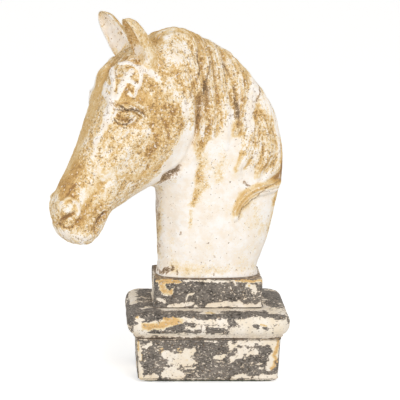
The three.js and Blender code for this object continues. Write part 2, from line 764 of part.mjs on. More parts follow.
function plinthCap() {
  let solid = course(capLength, capDepth, capHeight, capCorner, capSwell, capLineShares);
  solid = drillDowels(drillRod(solid, 0, capHeight), blockDowels, capHeight);
  solid = drillDowels(solid, capDowels, 0);
  return named("plinth_cap", geometryOf(solid), wornPaint, capFoot);
}

// Centres of the four corner bosses inside the box.
const cavityLength = boxLength - 2 * boxWall;
const cavityDepth = boxDepth - 2 * boxWall;
const bossPlaces = [[-1, -1], [1, -1], [1, 1], [-1, 1]].map(([sx, sy]) => [
  (sx * (cavityLength - bossSide)) / 2,
  (sy * (cavityDepth - bossSide)) / 2,
]);

function plinthBox() {
  let solid = course(boxLength, boxDepth, boxHeight, boxCorner, boxDraft, boxLineShares);
  const cavityHeight = boxHeight - boxDeck;
  const cavityBrick = brick(cavityLength, cavityDepth, cavityHeight + overrun, 0, 0, -overrun);
  let cavity = solidOf(cavityBrick);
  for (const [x, y] of bossPlaces) {
    const boss = brick(bossSide + fitGap, bossSide + fitGap, cavityHeight, x, y, boardThick);
    cavity = cavity.subtract(solidOf(boss));
  }
  solid = drillRod(solid.subtract(cavity), 0, boxHeight);
  solid = drillDowels(solid, capDowels, boxHeight);
  for (const [x, y] of bossPlaces) {
    const pilot = post(screwRadius + fitGap, screwLength, x, y, 0);
    solid = solid.subtract(solidOf(pilot));
  }
  return named("plinth_box", geometryOf(solid), wornPaint, boxFoot);
}

// Outline of a countersunk screw from its head up to its tip, grown by a clearance.
function screwProfile(extra) {
  const tip = screwLength - fitGap;
  return [
    [0, 0],
    [screwHeadRadius + extra, 0],
    [screwRadius + extra, screwHeadRise],
    [screwRadius + extra, tip - screwRadius],
    [0, tip],
  ].map(([r, z]) => new THREE.Vector2(r, z));
}

function screwBody(extra) {
  return new THREE.LatheGeometry(screwProfile(extra), roundSides).rotateX(Math.PI / 2);
}

function baseBoard() {
  const length = cavityLength - 2 * fitGap;
  const depth = cavityDepth - 2 * fitGap;
  let solid = solidOf(brick(length, depth, boardThick, 0, 0, 0));
  for (const [x, y] of bossPlaces) {
    const way = post(screwHeadRadius + fitGap, 2 * overrun, x, y, -2 * overrun);
    solid = solid.subtract(solidOf(way).add(solidOf(screwBody(fitGap).translate(x, y, 0))));
  }
  return named("base_board", geometryOf(solid), plyBoard, boxFoot);
}

function boardScrews() {
  return bossPlaces.map(([x, y], i) => {
    const mesh = named(`board_screw_${i + 1}`, screwBody(0), plainSteel);
    mesh.position.set(x, y, boxFoot);
    return mesh;
  });
}

function baseFelt() {
  const inset = boxDraft + feltInset;
  const halfLength = boxLength / 2 - inset;
  const halfDepth = boxDepth / 2 - inset;
  const levels = [0, feltThick];
  const rings = levels.map((z) => roundedRing(halfLength, halfDepth, boxCorner, z));
  return named("base_felt", loft(rings), greenFelt);
}

function dowels() {
  const joints = [
    ["neck_dowel", neckDowels, neckSeat],
    ["block_dowel", blockDowels, blockFoot],
    ["cap_dowel", capDowels, capFoot],
  ];
  return joints.flatMap(([name, places, height]) =>
    places.map(([x, y], i) => {
      const bar = post(dowelRadius, dowelLength, x, y, 0);
      return named(`${name}_${i + 1}`, bar, beechWood, height - dowelLength / 2);
    }),
  );
}

const bust = new THREE.Group();
bust.position.z = neckSeat;
bust.add(bustShell("bust_left_shell", -1), bustShell("bust_right_shell", 1));
bust.add(ear("ear_left", -1), ear("ear_right", 1), ...seamPins());

const plinth = new THREE.Group();
plinth.add(neckBlock(), plinthCap(), plinthBox(), baseBoard(), ...boardScrews(), baseFelt());

const piece = new THREE.Group();
piece.name = "giant_chess_piece";
piece.add(bust, plinth, ...tieRodSet(), ...dowels());

export default piece;
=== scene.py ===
# A giant chess piece: a cast horse's head, aged to gold and cream, on a stepped plinth whose
# dark paint has worn through to a cream ground. The head looks along -X.
import itertools
import math

import bmesh
import bpy
import numpy as np
from mathutils import Matrix, Vector


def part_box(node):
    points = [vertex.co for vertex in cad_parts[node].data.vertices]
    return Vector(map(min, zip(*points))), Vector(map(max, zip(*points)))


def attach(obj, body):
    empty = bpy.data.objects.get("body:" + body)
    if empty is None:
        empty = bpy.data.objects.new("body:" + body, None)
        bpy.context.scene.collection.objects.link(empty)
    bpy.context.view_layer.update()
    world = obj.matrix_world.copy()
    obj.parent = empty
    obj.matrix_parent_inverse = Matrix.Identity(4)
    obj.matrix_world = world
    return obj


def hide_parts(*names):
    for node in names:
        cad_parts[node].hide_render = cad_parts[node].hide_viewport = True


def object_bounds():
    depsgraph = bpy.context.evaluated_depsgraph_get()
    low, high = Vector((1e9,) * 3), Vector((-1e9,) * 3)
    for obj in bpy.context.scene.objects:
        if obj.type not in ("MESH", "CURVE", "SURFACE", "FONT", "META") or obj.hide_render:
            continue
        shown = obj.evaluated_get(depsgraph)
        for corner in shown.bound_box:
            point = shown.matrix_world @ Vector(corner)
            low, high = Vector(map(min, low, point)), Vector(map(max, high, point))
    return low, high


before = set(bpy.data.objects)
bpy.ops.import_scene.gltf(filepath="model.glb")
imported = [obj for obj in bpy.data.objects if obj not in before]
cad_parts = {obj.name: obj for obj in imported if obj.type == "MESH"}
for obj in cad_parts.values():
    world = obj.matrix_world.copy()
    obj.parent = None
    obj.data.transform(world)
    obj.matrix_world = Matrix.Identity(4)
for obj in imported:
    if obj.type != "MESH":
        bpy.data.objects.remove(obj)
cad_low, cad_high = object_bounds()
MM = 0.001

# Places from the frame, in millimetres
boxes = {
    node: [np.array(corner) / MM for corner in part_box(node)]
    for node in ("neck_block", "plinth_cap", "plinth_box", "base_felt")
}
seat_z = boxes["neck_block"][1][2]

# Bust, in millimetres and degrees
BUST_RISE = 372
HEAD_REACH = 240
HALF_WIDTH = 60
CAST_WALL = 14
HEAD_TURN = 20
TURN_TILT = 30
SEAM_GAP = 0.05
SIDE = np.array((-HEAD_REACH, BUST_RISE))

# Bust grid: counts, and the shares at which its lines start and end
RINGS = 540
HALF_POINTS = 156
FINE_ANGLES = 361
FINE_ROWS = 40
INNER_POINTS = 14
INNER_FIRST_ROW = 1.9
INNER_LAST_SHARE = 0.88
INSET_MOST_SHARE = 0.4
CURVE_STEPS = 6
DAB_SHARE = 0.01
BLUR_REACH = 3
TINY = 1e-9

# Mane: the lift of its ground, how a lock narrows, drops and rounds off, and its hairs
MANE_LIFT = 2.4
LOCK_TAPER = 0.62
LOCK_TAPER_POWER = 2.2
LOCK_DROP = 0.5
LOCK_DROP_POWER = 4
LOCK_ROUNDNESS = 0.7
LOCK_SPAN = 60
LOCK_RUN = 150
HAIRS_PER_LOCK = 3.5
HAIR_DEPTH = 0.22
HAIRY_LIFT = 2
STRAND_STRETCH = 14

# Wash, wear and dirt of the bust
WASH_LEVEL = 0.58
SMOOTH_MOST = 0.8
MOTTLE_LEAST = 0.08
FORELOCK_RUB = 0.85
FOREHEAD_SLANT = 0.435
FOREHEAD_DIP = 0.21
BRIDGE_SHIFT = 10
BRIDGE_GOLD = 0.78
BRIDGE_CALM = 0.8
STREAK_TILT = 60
STREAK_STRETCH = 2.6
PATINA_LEAST = 0.15
CREVICE_GOLD = 0.4
CREVICE_LEAST = 0.3
FINE_LEAST = 0.35
GRAIN_LEAST = 0.14
GRAIN_MOTTLED = 0.3
SPOT_DEPTH = 0.5
SPOT_DIRT = 0.9
HOLLOW_DIRT = 0.34

# Ears, in millimetres and degrees. The near one is -1 and the far one 1.
EAR_LENGTH = 81
EAR_WIDTH = 36
EAR_DEPTH = 54
EAR_ROOT_SHARES = (0.49, 0.56, 0.865)
EAR_TIPS = {-1: (0.57, 0.25, 1), 1: (0.53, 0.25, 1)}
EAR_SINK_SHARE = 0.26
EAR_TIP_SHARE = 0.15
EAR_LAST_SHARE = 0.01
EAR_SWIVELS = {-1: 8, 1: 34}
EAR_RING_BIAS = 1.7
EAR_FOLD = 0.7
EAR_FOLDS = 3
EAR_RIM = 1.2
EAR_HOLES_LEAST = 0.35
EAR_RINGS = 96
EAR_POINTS = 120
EAR_RING_SHARES = np.array([
    (0.8, 0.84, 0.05), (0.92, 0.94, 0.1), (0.98, 0.95, 0.35), (0.97, 0.92, 0.64),
    (0.93, 0.86, 0.74), (0.82, 0.76, 0.76), (0.68, 0.62, 0.74), (0.5, 0.46, 0.6),
])

# Wash and dirt of the ears
EAR_PALE_TOPS = {-1: 0.4, 1: 0.86}
EAR_PALE_EDGES = {-1: (0.1, 0.5), 1: (-0.45, 0.1)}
EAR_PALE_FADE = 0.16
EAR_BLOTS = {-1: "near blots", 1: "far blots"}
EAR_PATINA = 0.7
EAR_GOLD = 0.74
EAR_GOLD_RUBBED = 0.85
EAR_GOLD_BASE = 0.2
EAR_GOLD_BLOTS = 0.4
EAR_DIRT_HOLLOW = 0.4
EAR_DIRT_FRONT = 0.05
EAR_DIRT_BLOTS = 0.75
EAR_RUB = 0.5
EAR_MOTTLE = 0.55
EAR_MOTTLE_PALE = 0.2

# Plinth, in millimetres, and its counts of rows and steps
COURSE_STEP = 1.35
ARC_STEPS = 13
FINE_LINE = 20
CORNER_LEAST_SHARE = 1 / 3
BOX_WALL = 16
BOX_DECK = 16
BOSS_SIDE = 28
BOSS_EDGE = 1
BOSS_CORNER = 2
BOARD_THICK = 9
HIDDEN_ROWS = 6
HUB_SPREAD = 0.03
WALL_ROWS = 7
RIM_ROWS = 5
FELT_EDGE_ROWS = 5
FELT_FUZZ = 0.35

# Paint of the plinth: its film, how much is left and how patchy it is on the front and elsewhere,
# how far the course is set back under it, and how deep and how bare a chip is
PAINT_FILM = 0.5
PAINT_FRONT = (0.87, 0.35)
PAINT_ELSEWHERE = (0.66, 1.15)
COURSE_SETBACK = 0.4
CHIP_DEPTH = 2.6
CHIP_BARE = 2.2

# Noise: large odd factors that scramble a cell's numbers, and how the octaves and pits vary
HASH_FACTORS = np.array((374761393, 668265263, 1440662683))
HASH_SEED = 974634777
HASH_FOLD = 1274126177
HASH_SHIFTS = (13, 16)
WORD = 0xFFFFFFFF
HALF_WORD = 0xFFFF
OCTAVE_SHARE = 0.55
PIT_LEAST = 0.5

# Clouds of noise: strength, size in millimetres, seed, octaves
CLOUDS = {
    "skin warp": (4.2, 22, 40, 5), "skin lumps": (0.5, 26, 50, 3),
    "skin grain": (1, 5, 55, 2), "foot lumps": (1, 11, 58, 3),
    "broad wash": (0.16, 34, 76, 3), "wash streaks": (0.34, 9, 80, 3),
    "wash patches": (0.24, 4, 84, 2), "ear lumps": (0.5, 14, 150, 5),
    "near blots": (1, 5, 170, 4), "far blots": (1, 9, 170, 4),
    "paint": (1, 34, 200, 4), "undercoat": (1, 26, 220, 3),
    "paint warp": (2.2, 9, 240, 4), "paint edge": (0.25, 4, 250, 3),
    "course lumps": (0.4, 20, 280, 3), "course grain": (0.14, 3, 290, 2),
    "felt": (1, 3, 300, 2),
}

# Round pits: depth, size of a cell and radius in millimetres, share of the cells that hold one,
# seed
PITS = {
    "skin": (1, 5.5, 2.4, 0.3, 60), "spots": (0.8, 15, 3, 0.25, 70),
    "small spots": (0.5, 8, 1.8, 0.2, 72), "ear": (1.1, 4.5, 2.2, 0.08, 160),
    "chips": (1, 13, 5, 0.3, 260), "course": (0.8, 6, 2.2, 0.25, 270),
}

# Ramps: the two levels between which a value rises from 0 to 1. The value is a depth or distance
# in millimetres, a share of a length, or a part of a unit normal.
RAMPS = {
    "head turn": (67, 195),
    "lock root": (-0.02, 0.2), "mane edge": (0, 30), "wash edge": (0, 18),
    "near side": (-6, 6), "off median": (0, 14), "foot line": (0, 6), "foot": (8, 34),
    "crevice": (0.08, 0.7), "skin hollow": (0.3, 1.8), "skin ridge": (0.2, 1.3),
    "curl top": (0.4, 1.4), "beside bridge": (13, 23), "bridge ahead": (0.55, 0.66),
    "bridge up": (0.36, 0.48), "facing ahead": (0.15, 0.45),
    "ear root": (0.25, 0.5), "ear cup": (0.3, 0.5), "ear front": (0.1, 0.5),
    "ear rim": (0.8, 1), "ear blots": (0.3, 0.9), "ear hollow": (0.2, 1),
    "ear ridge": (0.1, 0.7), "facing front": (0.1, 0.5), "facing up": (0.6, 0.9),
    "undercoat": (0.35, 0.8), "paint": (0.35, 0.6), "course hollow": (0.25, 1.2),
    "course ridge": (0.2, 1), "arris": (0.02, 0.14),
}

# Grain of the materials: roughness of its noise, how it is drawn out by the brush, along a dowel
# and along the board, and the thickness of a layer of the board in millimetres
GRAIN_ROUGHNESS = 0.6
BRUSHED = (0.45, 0.45, 1)
ALONG_DOWEL = (1, 1, 0.12)
ALONG_BOARD = (0.08, 1, 1)
PLY_LAYER = 3

# Finishes of the CAD pieces that stay
KEPT_FINISHES = (
    ("seam_pin", "plain_steel"), ("board_screw", "plain_steel"), ("tie_rod", "plain_steel"),
    ("anchor_", "plain_steel"), ("rod_", "plain_steel"), ("base_board", "ply_board"),
    ("neck_dowel", "beech_wood"), ("block_dowel", "beech_wood"), ("cap_dowel", "beech_wood"),
)

# View, in metres, millimetres of lens and degrees
AIM = (-0.0117, 0, 0.262)
VIEW_AZIMUTH = -3.5
VIEW_ELEVATION = 11
VIEW_ROLL = 0.9
VIEW_DISTANCE = 3
VIEW_LENS = 180
VIEW_SENSOR = 36

# Light: place in metres, size in metres, power in watts
SOFTBOXES = {
    "key": ((0.9, -2.2, 1.6), 1.4, 32),
    "fill": ((-2.2, -1.4, 0.8), 1.6, 17),
}
AMBIENT = 0.505
FLOOR_REACH = 12
FLOOR_GLOW = 0.5

# Sections from the neck's foot round the throat to the lips: throat side ahead and up, crest
# side ahead and up, half width, place of the widest line, and the roundness of each side.
SECTION_SHARES = np.array([
    (0.32, 0, -0.32, 0, 0.72, 0.46, 3.2, 3),
    (0.31, 0.025, -0.31, 0.03, 0.7, 0.46, 2.8, 2.6),
    (0.31, 0.06, -0.335, 0.075, 0.7, 0.44, 2.4, 2.2),
    (0.315, 0.12, -0.375, 0.145, 0.735, 0.42, 2.2, 2),
    (0.32, 0.195, -0.41, 0.24, 0.77, 0.4, 2.1, 1.8),
    (0.33, 0.265, -0.435, 0.325, 0.8, 0.38, 2.1, 1.7),
    (0.33, 0.31, -0.46, 0.41, 0.825, 0.37, 2.1, 1.65),
    (0.335, 0.34, -0.46, 0.5, 0.85, 0.36, 2.1, 1.6),
    (0.345, 0.355, -0.435, 0.585, 0.875, 0.36, 2, 1.6),
    (0.375, 0.365, -0.4, 0.665, 0.9, 0.37, 2, 1.65),
    (0.405, 0.365, -0.335, 0.735, 0.925, 0.38, 1.95, 1.7),
    (0.435, 0.36, -0.25, 0.805, 0.95, 0.39, 1.9, 1.75),
    (0.455, 0.35, -0.15, 0.87, 0.96, 0.41, 1.85, 1.8),
    (0.48, 0.34, -0.04, 0.92, 0.975, 0.43, 1.8, 1.9),
    (0.505, 0.33, 0.08, 0.96, 0.99, 0.45, 1.8, 2),
    (0.535, 0.32, 0.195, 0.99, 1, 0.48, 1.8, 2.1),
    (0.56, 0.31, 0.305, 0.985, 1, 0.51, 1.8, 2.2),
    (0.585, 0.3, 0.41, 0.96, 1, 0.53, 1.8, 2.3),
    (0.645, 0.28, 0.58, 0.9, 0.975, 0.54, 1.8, 2.5),
    (0.685, 0.26, 0.7, 0.785, 0.91, 0.54, 2, 2.9),
    (0.705, 0.235, 0.78, 0.655, 0.775, 0.52, 2.2, 3),
    (0.72, 0.21, 0.87, 0.52, 0.635, 0.5, 2.4, 2.8),
    (0.735, 0.19, 0.965, 0.41, 0.56, 0.48, 2.4, 2.4),
    (0.75, 0.18, 1.01, 0.35, 0.56, 0.47, 2.4, 2.3),
    (0.765, 0.175, 1.025, 0.29, 0.56, 0.46, 2.4, 2.3),
    (0.785, 0.165, 1.015, 0.24, 0.54, 0.46, 2.4, 2.3),
    (0.805, 0.16, 0.98, 0.195, 0.475, 0.47, 2.3, 2.3),
    (0.83, 0.16, 0.935, 0.17, 0.35, 0.48, 2.2, 2.2),
    (0.855, 0.155, 0.89, 0.16, 0.15, 0.5, 2, 2),
])

# Masses of the face: place ahead and up, reach along and across in millimetres, tilt in
# degrees, lift in millimetres.
FACE_MASSES = [
    ((0.385, 0.575), 50, 45, 20, 5.9),      # cheek
    ((0.63, 0.715), 32, 19, -20, 7),        # brow
    ((0.643, 0.683), 13.5, 8.5, -12, 5),    # eyeball
    ((0.555, 0.755), 19, 15, 0, -4.2),      # hollow above the eye
    ((0.6, 0.64), 20, 7, -15, -2),          # hollow under the lower lid
    ((0.965, 0.31), 22, 20, 10, 5.6),       # wing of the nostril
    ((0.84, 0.21), 22, 13, 0, 3.5),         # chin
    ((0.87, 0.245), 11, 9, 30, 2.5),        # swell of the lower lip
    ((0.64, 0.82), 33, 30, 0, 5.9),         # forelock
    ((0.87, 0.43), 26, 19, 50, -2),         # hollow of the nose
    ((0.5, 0.855), 24, 15, 30, 4),          # root of the ear
]

# Broad folds of the jaw and the cheek: half width and lift in millimetres, then places.
FACE_FOLDS = [
    (11, -6.3, (0.16, 0.73), (0.135, 0.61), (0.16, 0.555), (0.21, 0.47), (0.33, 0.42)),
    (6, -2.5, (0.15, 0.75), (0.14, 0.66), (0.137, 0.6), (0.15, 0.545)),
    (13, 3.5, (0.53, 0.62), (0.68, 0.515), (0.78, 0.445)),
]

# Lines raised or cut on the face, as the folds.
FACE_STROKES = [
    (3.6, -2.8, (1.01, 0.252), (0.982, 0.237), (0.935, 0.247), (0.9, 0.273)),
    (4.5, -0.8, (0.855, 0.315), (0.835, 0.332), (0.814, 0.374), (0.778, 0.411)),
    (6, -4.4, (0.745, 0.29), (0.782, 0.262), (0.795, 0.215)),
    (3.2, 2.2, (0.70, 0.683), (0.684, 0.697), (0.64, 0.708), (0.592, 0.7), (0.553, 0.683)),
    (2.2, -2.4, (0.692, 0.682), (0.675, 0.692), (0.64, 0.7), (0.598, 0.693), (0.565, 0.679)),
    (2.8, 1.8, (0.7, 0.663), (0.667, 0.652), (0.63, 0.651), (0.6, 0.664), (0.566, 0.676)),
    (2, -2.2, (0.695, 0.668), (0.667, 0.66), (0.63, 0.66), (0.6, 0.671)),
    (2.4, -2.2, (0.713, 0.69), (0.692, 0.717), (0.647, 0.727), (0.589, 0.717), (0.533, 0.69)),
    (2.2, -1.6, (0.71, 0.655), (0.672, 0.641), (0.625, 0.64), (0.585, 0.655), (0.545, 0.672)),
    (4, 3.4, (0.985, 0.335), (0.955, 0.355), (0.92, 0.34), (0.905, 0.31), (0.918, 0.282)),
    (3.2, -5, (0.937, 0.297), (0.962, 0.289), (0.988, 0.277)),
    (2.6, -2, (0.968, 0.362), (0.946, 0.385), (0.913, 0.411)),
    (9, 1.6, (0.78, 0.58), (0.83, 0.5), (0.89, 0.42), (0.94, 0.38)),
    (6, -1.6, (0.49, 0.64), (0.455, 0.57), (0.47, 0.5), (0.51, 0.44)),
    (6, -1.4, (0.41, 0.66), (0.37, 0.58), (0.38, 0.51), (0.43, 0.45)),
    (9, -0.8, (0.075, 0.47), (0.089, 0.389), (0.102, 0.303), (0.109, 0.217), (0.113, 0.12)),
    (16, 1, (0.17, 0.42), (0.16, 0.3), (0.155, 0.2), (0.15, 0.1)),
    (11, -0.9, (0.28, 0.4), (0.258, 0.33), (0.248, 0.25), (0.243, 0.15)),
]

# Curls of the forelock, as the strokes above, then stains and dirt of the forehead. Their places
# are shares of the slanted side, where the forehead isn't seen edge on.
FORELOCK_STROKES = [
    (6, 2.2, (0.628, 0.836), (0.624, 0.808), (0.617, 0.78), (0.627, 0.742), (0.639, 0.702),
     (0.649, 0.676)),
    (7, 2, (0.51, 0.82), (0.53, 0.8), (0.554, 0.774), (0.577, 0.748), (0.6, 0.72)),
    (4.4, 2.2, (0.585, 0.855), (0.532, 0.856), (0.491, 0.842), (0.459, 0.823), (0.451, 0.795),
     (0.458, 0.772), (0.472, 0.754)),
    (5, 2, (0.52, 0.779), (0.487, 0.767), (0.481, 0.742), (0.493, 0.724), (0.526, 0.735)),
    (6.5, 2, (0.702, 0.776), (0.695, 0.754), (0.67, 0.732), (0.647, 0.715)),
    (6, 1.4, (0.473, 0.833), (0.45, 0.826), (0.426, 0.818)),
    (8, 1.4, (0.69, 0.785), (0.65, 0.758)),
    (4, -1.2, (0.578, 0.838), (0.582, 0.8)),
]
FOREHEAD_STAINS = [
    (9, -1, (0.629, 0.73), (0.648, 0.683), (0.668, 0.644), (0.685, 0.609)),
    (8, -0.8, (0.622, 0.7), (0.62, 0.667), (0.645, 0.625)),
    (8, -0.8, (0.7, 0.59), (0.735, 0.555)),
    (12, 0.25, (0.68, 0.83), (0.66, 0.8)),
    (5, 0.3, (0.576, 0.847), (0.576, 0.814), (0.581, 0.783)),
    (10, 0.15, (0.53, 0.705), (0.45, 0.7)),
    (9, -0.6, (0.45, 0.83), (0.4, 0.812), (0.35, 0.79)),
    (7, -0.4, (0.35, 0.79), (0.3, 0.75), (0.27, 0.71)),
]
FOREHEAD_DIRT = [
    (9, 0.5, (0.66, 0.84), (0.62, 0.87), (0.58, 0.885)),
    (5, 0.3, (0.712, 0.775), (0.73, 0.735), (0.75, 0.69)),
    (1.6, 0.9, (0.596, 0.838), (0.593, 0.82), (0.589, 0.799)),
    (2.2, 1.4, (0.492, 0.804)),
    (1.8, 1.2, (0.474, 0.775)),
    (2, 1, (0.433, 0.778)),
]

# Locks of the mane on each side, from the crest to the tip: half width, lift, places.
NEAR_LOCKS = [
    (10, 5, (0.42, 0.945), (0.37, 0.968), (0.316, 0.98), (0.248, 0.983), (0.195, 0.968),
     (0.168, 0.94), (0.168, 0.905), (0.19, 0.875)),
    (11, 3, (0.33, 0.92), (0.27, 0.86), (0.235, 0.79), (0.21, 0.72), (0.185, 0.655)),
    (11, 4, (0.22, 0.93), (0.2, 0.86), (0.17, 0.79), (0.15, 0.72), (0.115, 0.65), (0.09, 0.58)),
    (12, 5, (0.17, 1), (0.13, 0.95), (0.102, 0.882), (0.09, 0.81), (0.06, 0.74), (0.03, 0.67),
     (0.01, 0.58)),
    (12, 5, (0.06, 0.98), (0.02, 0.91), (0, 0.84), (-0.02, 0.77), (-0.06, 0.7), (-0.085, 0.62),
     (-0.09, 0.53)),
    (14, 6.2, (-0.03, 0.96), (-0.075, 0.905), (-0.119, 0.86), (-0.154, 0.815), (-0.177, 0.765),
     (-0.182, 0.71), (-0.174, 0.65), (-0.149, 0.59)),
    (12, 5, (-0.14, 0.91), (-0.19, 0.86), (-0.228, 0.807), (-0.246, 0.76), (-0.238, 0.712),
     (-0.226, 0.66), (-0.2, 0.6)),
    (14, 5, (-0.23, 0.86), (-0.285, 0.79), (-0.33, 0.725), (-0.355, 0.66), (-0.35, 0.6),
     (-0.325, 0.54)),
    (11, 5, (-0.25, 0.66), (-0.255, 0.61), (-0.246, 0.565), (-0.226, 0.515), (-0.198, 0.475),
     (-0.178, 0.444), (-0.184, 0.41)),
    (12, 5.4, (-0.3, 0.67), (-0.33, 0.6), (-0.36, 0.54), (-0.362, 0.502), (-0.338, 0.466),
     (-0.31, 0.436), (-0.298, 0.4)),
    (11, 4, (-0.27, 0.6), (-0.28, 0.54), (-0.27, 0.48), (-0.25, 0.44)),
    (13, 5.4, (-0.39, 0.7), (-0.413, 0.61), (-0.442, 0.55), (-0.446, 0.481), (-0.42, 0.436),
     (-0.375, 0.415), (-0.335, 0.39)),
    (12, 7.4, (-0.49, 0.43), (-0.455, 0.385), (-0.41, 0.365), (-0.35, 0.357), (-0.272, 0.344),
     (-0.212, 0.313), (-0.177, 0.276), (-0.164, 0.24)),
]
FAR_LOCKS = [
    (13, 5, (0.4, 0.96), (0.32, 0.93), (0.25, 0.87), (0.2, 0.8), (0.15, 0.73)),
    (13, 5, (0.3, 1), (0.21, 0.95), (0.15, 0.88), (0.1, 0.8), (0.06, 0.71), (0.05, 0.64)),
    (14, 5.6, (0.16, 0.99), (0.09, 0.93), (0.04, 0.85), (0.01, 0.76), (-0.03, 0.67),
     (-0.05, 0.58)),
    (14, 5, (0.04, 0.97), (-0.02, 0.9), (-0.06, 0.82), (-0.08, 0.73), (-0.11, 0.64),
     (-0.14, 0.55)),
    (14, 6, (-0.08, 0.93), (-0.13, 0.86), (-0.16, 0.77), (-0.17, 0.68), (-0.2, 0.59),
     (-0.19, 0.5)),
    (14, 5, (-0.18, 0.88), (-0.23, 0.8), (-0.26, 0.71), (-0.27, 0.62), (-0.28, 0.53),
     (-0.25, 0.45)),
    (14, 5.6, (-0.27, 0.81), (-0.33, 0.72), (-0.36, 0.63), (-0.36, 0.54), (-0.34, 0.46),
     (-0.3, 0.4)),
    (13, 5.4, (-0.38, 0.7), (-0.42, 0.6), (-0.43, 0.51), (-0.41, 0.44), (-0.36, 0.4),
     (-0.3, 0.365)),
    (12, 6, (-0.16, 0.56), (-0.19, 0.5), (-0.2, 0.44), (-0.17, 0.39), (-0.18, 0.34)),
    (12, 6, (-0.46, 0.5), (-0.45, 0.43), (-0.41, 0.38), (-0.35, 0.345), (-0.3, 0.31),
     (-0.28, 0.27)),
]

# Outline of the mane's raised ground on each side, inside the tips of its locks, and closed past
# the crest.
PAST_CREST = [(-0.54, 0.71), (-0.29, 0.96), (0.11, 1.11), (0.41, 1.06)]
NEAR_MANE = [
    (0.46, 0.9), (0.37, 0.87), (0.275, 0.79), (0.21, 0.71), (0.15, 0.66), (0.07, 0.585),
    (-0.01, 0.51), (-0.08, 0.45), (-0.14, 0.42), (-0.2, 0.4), (-0.28, 0.4), (-0.35, 0.4),
    (-0.42, 0.41), (-0.54, 0.47),
] + PAST_CREST
FAR_MANE = [
    (0.44, 0.92), (0.34, 0.89), (0.22, 0.84), (0.12, 0.76), (0.04, 0.68), (-0.04, 0.6),
    (-0.1, 0.53), (-0.18, 0.45), (-0.27, 0.4), (-0.36, 0.4), (-0.54, 0.45),
] + PAST_CREST

# Outline of the gold wash on each side, in shares of the side, and closed past the head.
PAST_HEAD = [
    (-0.6, 0.4), (-0.6, 0.8), (-0.3, 1.1), (0.3, 1.2), (0.8, 1.1), (1.2, 0.6), (1.2, 0.1),
]
NEAR_WASH = [
    (0.773, 0.12), (0.709, 0.19), (0.644, 0.245), (0.514, 0.32), (0.42, 0.37), (0.323, 0.455),
    (0.286, 0.522), (0.248, 0.578), (0.19, 0.6), (0.137, 0.573), (0.101, 0.502), (0.05, 0.535),
    (-0.037, 0.561), (-0.117, 0.587), (-0.145, 0.524), (-0.159, 0.428), (-0.278, 0.409),
    (-0.383, 0.352),
] + PAST_HEAD
FAR_WASH = [
    (0.773, 0.18), (0.7, 0.26), (0.6, 0.33), (0.47, 0.4), (0.36, 0.46), (0.29, 0.54), (0.2, 0.57),
    (0.12, 0.53), (0.06, 0.56), (-0.06, 0.55), (-0.12, 0.5), (-0.16, 0.42), (-0.28, 0.36),
    (-0.4, 0.36),
] + PAST_HEAD

# More or less gold than the wash: half width in millimetres, amount, places.
HEAD_STAINS = [
    (9, 0.45, (0.655, 0.685), (0.63, 0.682)),
    (8, 0.5, (0.42, 0.355), (0.37, 0.375), (0.33, 0.4)),
    (10, -0.4, (0.36, 0.8), (0.3, 0.745), (0.26, 0.7)),
    (13, -0.7, (0.255, 0.7), (0.232, 0.645), (0.24, 0.583), (0.286, 0.522), (0.344, 0.465)),
    (10, 0.32, (0.378, 0.719), (0.305, 0.663), (0.31, 0.602), (0.336, 0.548), (0.36, 0.497)),
    (26, 0.3, (0.424, 0.692), (0.4, 0.639), (0.419, 0.585), (0.468, 0.531)),
    (9, 0.25, (0.47, 0.67), (0.44, 0.6), (0.5, 0.53)),
    (20, -0.28, (0.83, 0.5), (0.738, 0.523), (0.66, 0.55)),
    (14, -0.2, (0.579, 0.624), (0.66, 0.6)),
    (12, 0.12, (0.649, 0.446), (0.505, 0.444), (0.403, 0.478)),
    (26, 0.16, (0.712, 0.413), (0.784, 0.329), (0.86, 0.26)),
    (24, 0.35, (0.86, 0.5), (0.92, 0.42), (1, 0.38)),
    (9, -0.45, (0.885, 0.37), (0.88, 0.328), (0.905, 0.286)),
    (7, -0.6, (0.94, 0.34), (0.965, 0.31), (0.985, 0.33)),
    (10, 0.4, (0.778, 0.411), (0.804, 0.379), (0.835, 0.342), (0.868, 0.299), (0.9, 0.262)),
    (8, -0.35, (0.781, 0.354), (0.744, 0.388), (0.714, 0.422)),
    (9, -0.3, (0.771, 0.431), (0.735, 0.446)),
    (13, 0.3, (0.906, 0.475), (0.935, 0.438), (0.96, 0.393)),
    (4.5, 0.6, (0.985, 0.268), (0.955, 0.281)),
    (15, -0.7, (0.98, 0.205), (0.92, 0.195), (0.83, 0.19)),
    (11, 0.22, (0.665, 0.728), (0.575, 0.735), (0.467, 0.72)),
    (14, 0.25, (0.485, 0.776), (0.399, 0.767)),
    (12, 0.2, (0.57, 0.79), (0.5, 0.79)),
    (5, -0.6, (1, 0.4), (1.02, 0.34)),
]
NECK_STAINS = [
    (12, 0.5, (0.085, 0.556), (0.094, 0.515)),
    (9, 0.25, (0.096, 0.49), (0.086, 0.45)),
    (13, 0.55, (0.07, 0.42), (0.05, 0.381)),
    (17, 0.3, (0.085, 0.54), (0.075, 0.46), (0.065, 0.38), (0.09, 0.32)),
    (9, 0.5, (0.08, 0.352), (0.106, 0.305)),
    (5, 0.4, (0.115, 0.272), (0.117, 0.21)),
    (22, 0.2, (0.0, 0.46), (-0.03, 0.4)),
    (7, 0.3, (0.33, 0.36), (0.305, 0.29), (0.315, 0.2), (0.31, 0.07)),
    (11, 0.7, (-0.45, 0.339), (-0.425, 0.252), (-0.4, 0.166), (-0.37, 0.1)),
    (12, 0.14, (0.28, 0.25), (0.24, 0.12), (0.2, 0.03)),
    (16, 0.2, (0.22, 0.04), (0, 0.03), (-0.28, 0.04)),
    (16, 0.22, (-0.08, 0.5), (-0.06, 0.42)),
    (18, 0.22, (-0.27, 0.28), (-0.33, 0.2)),
]
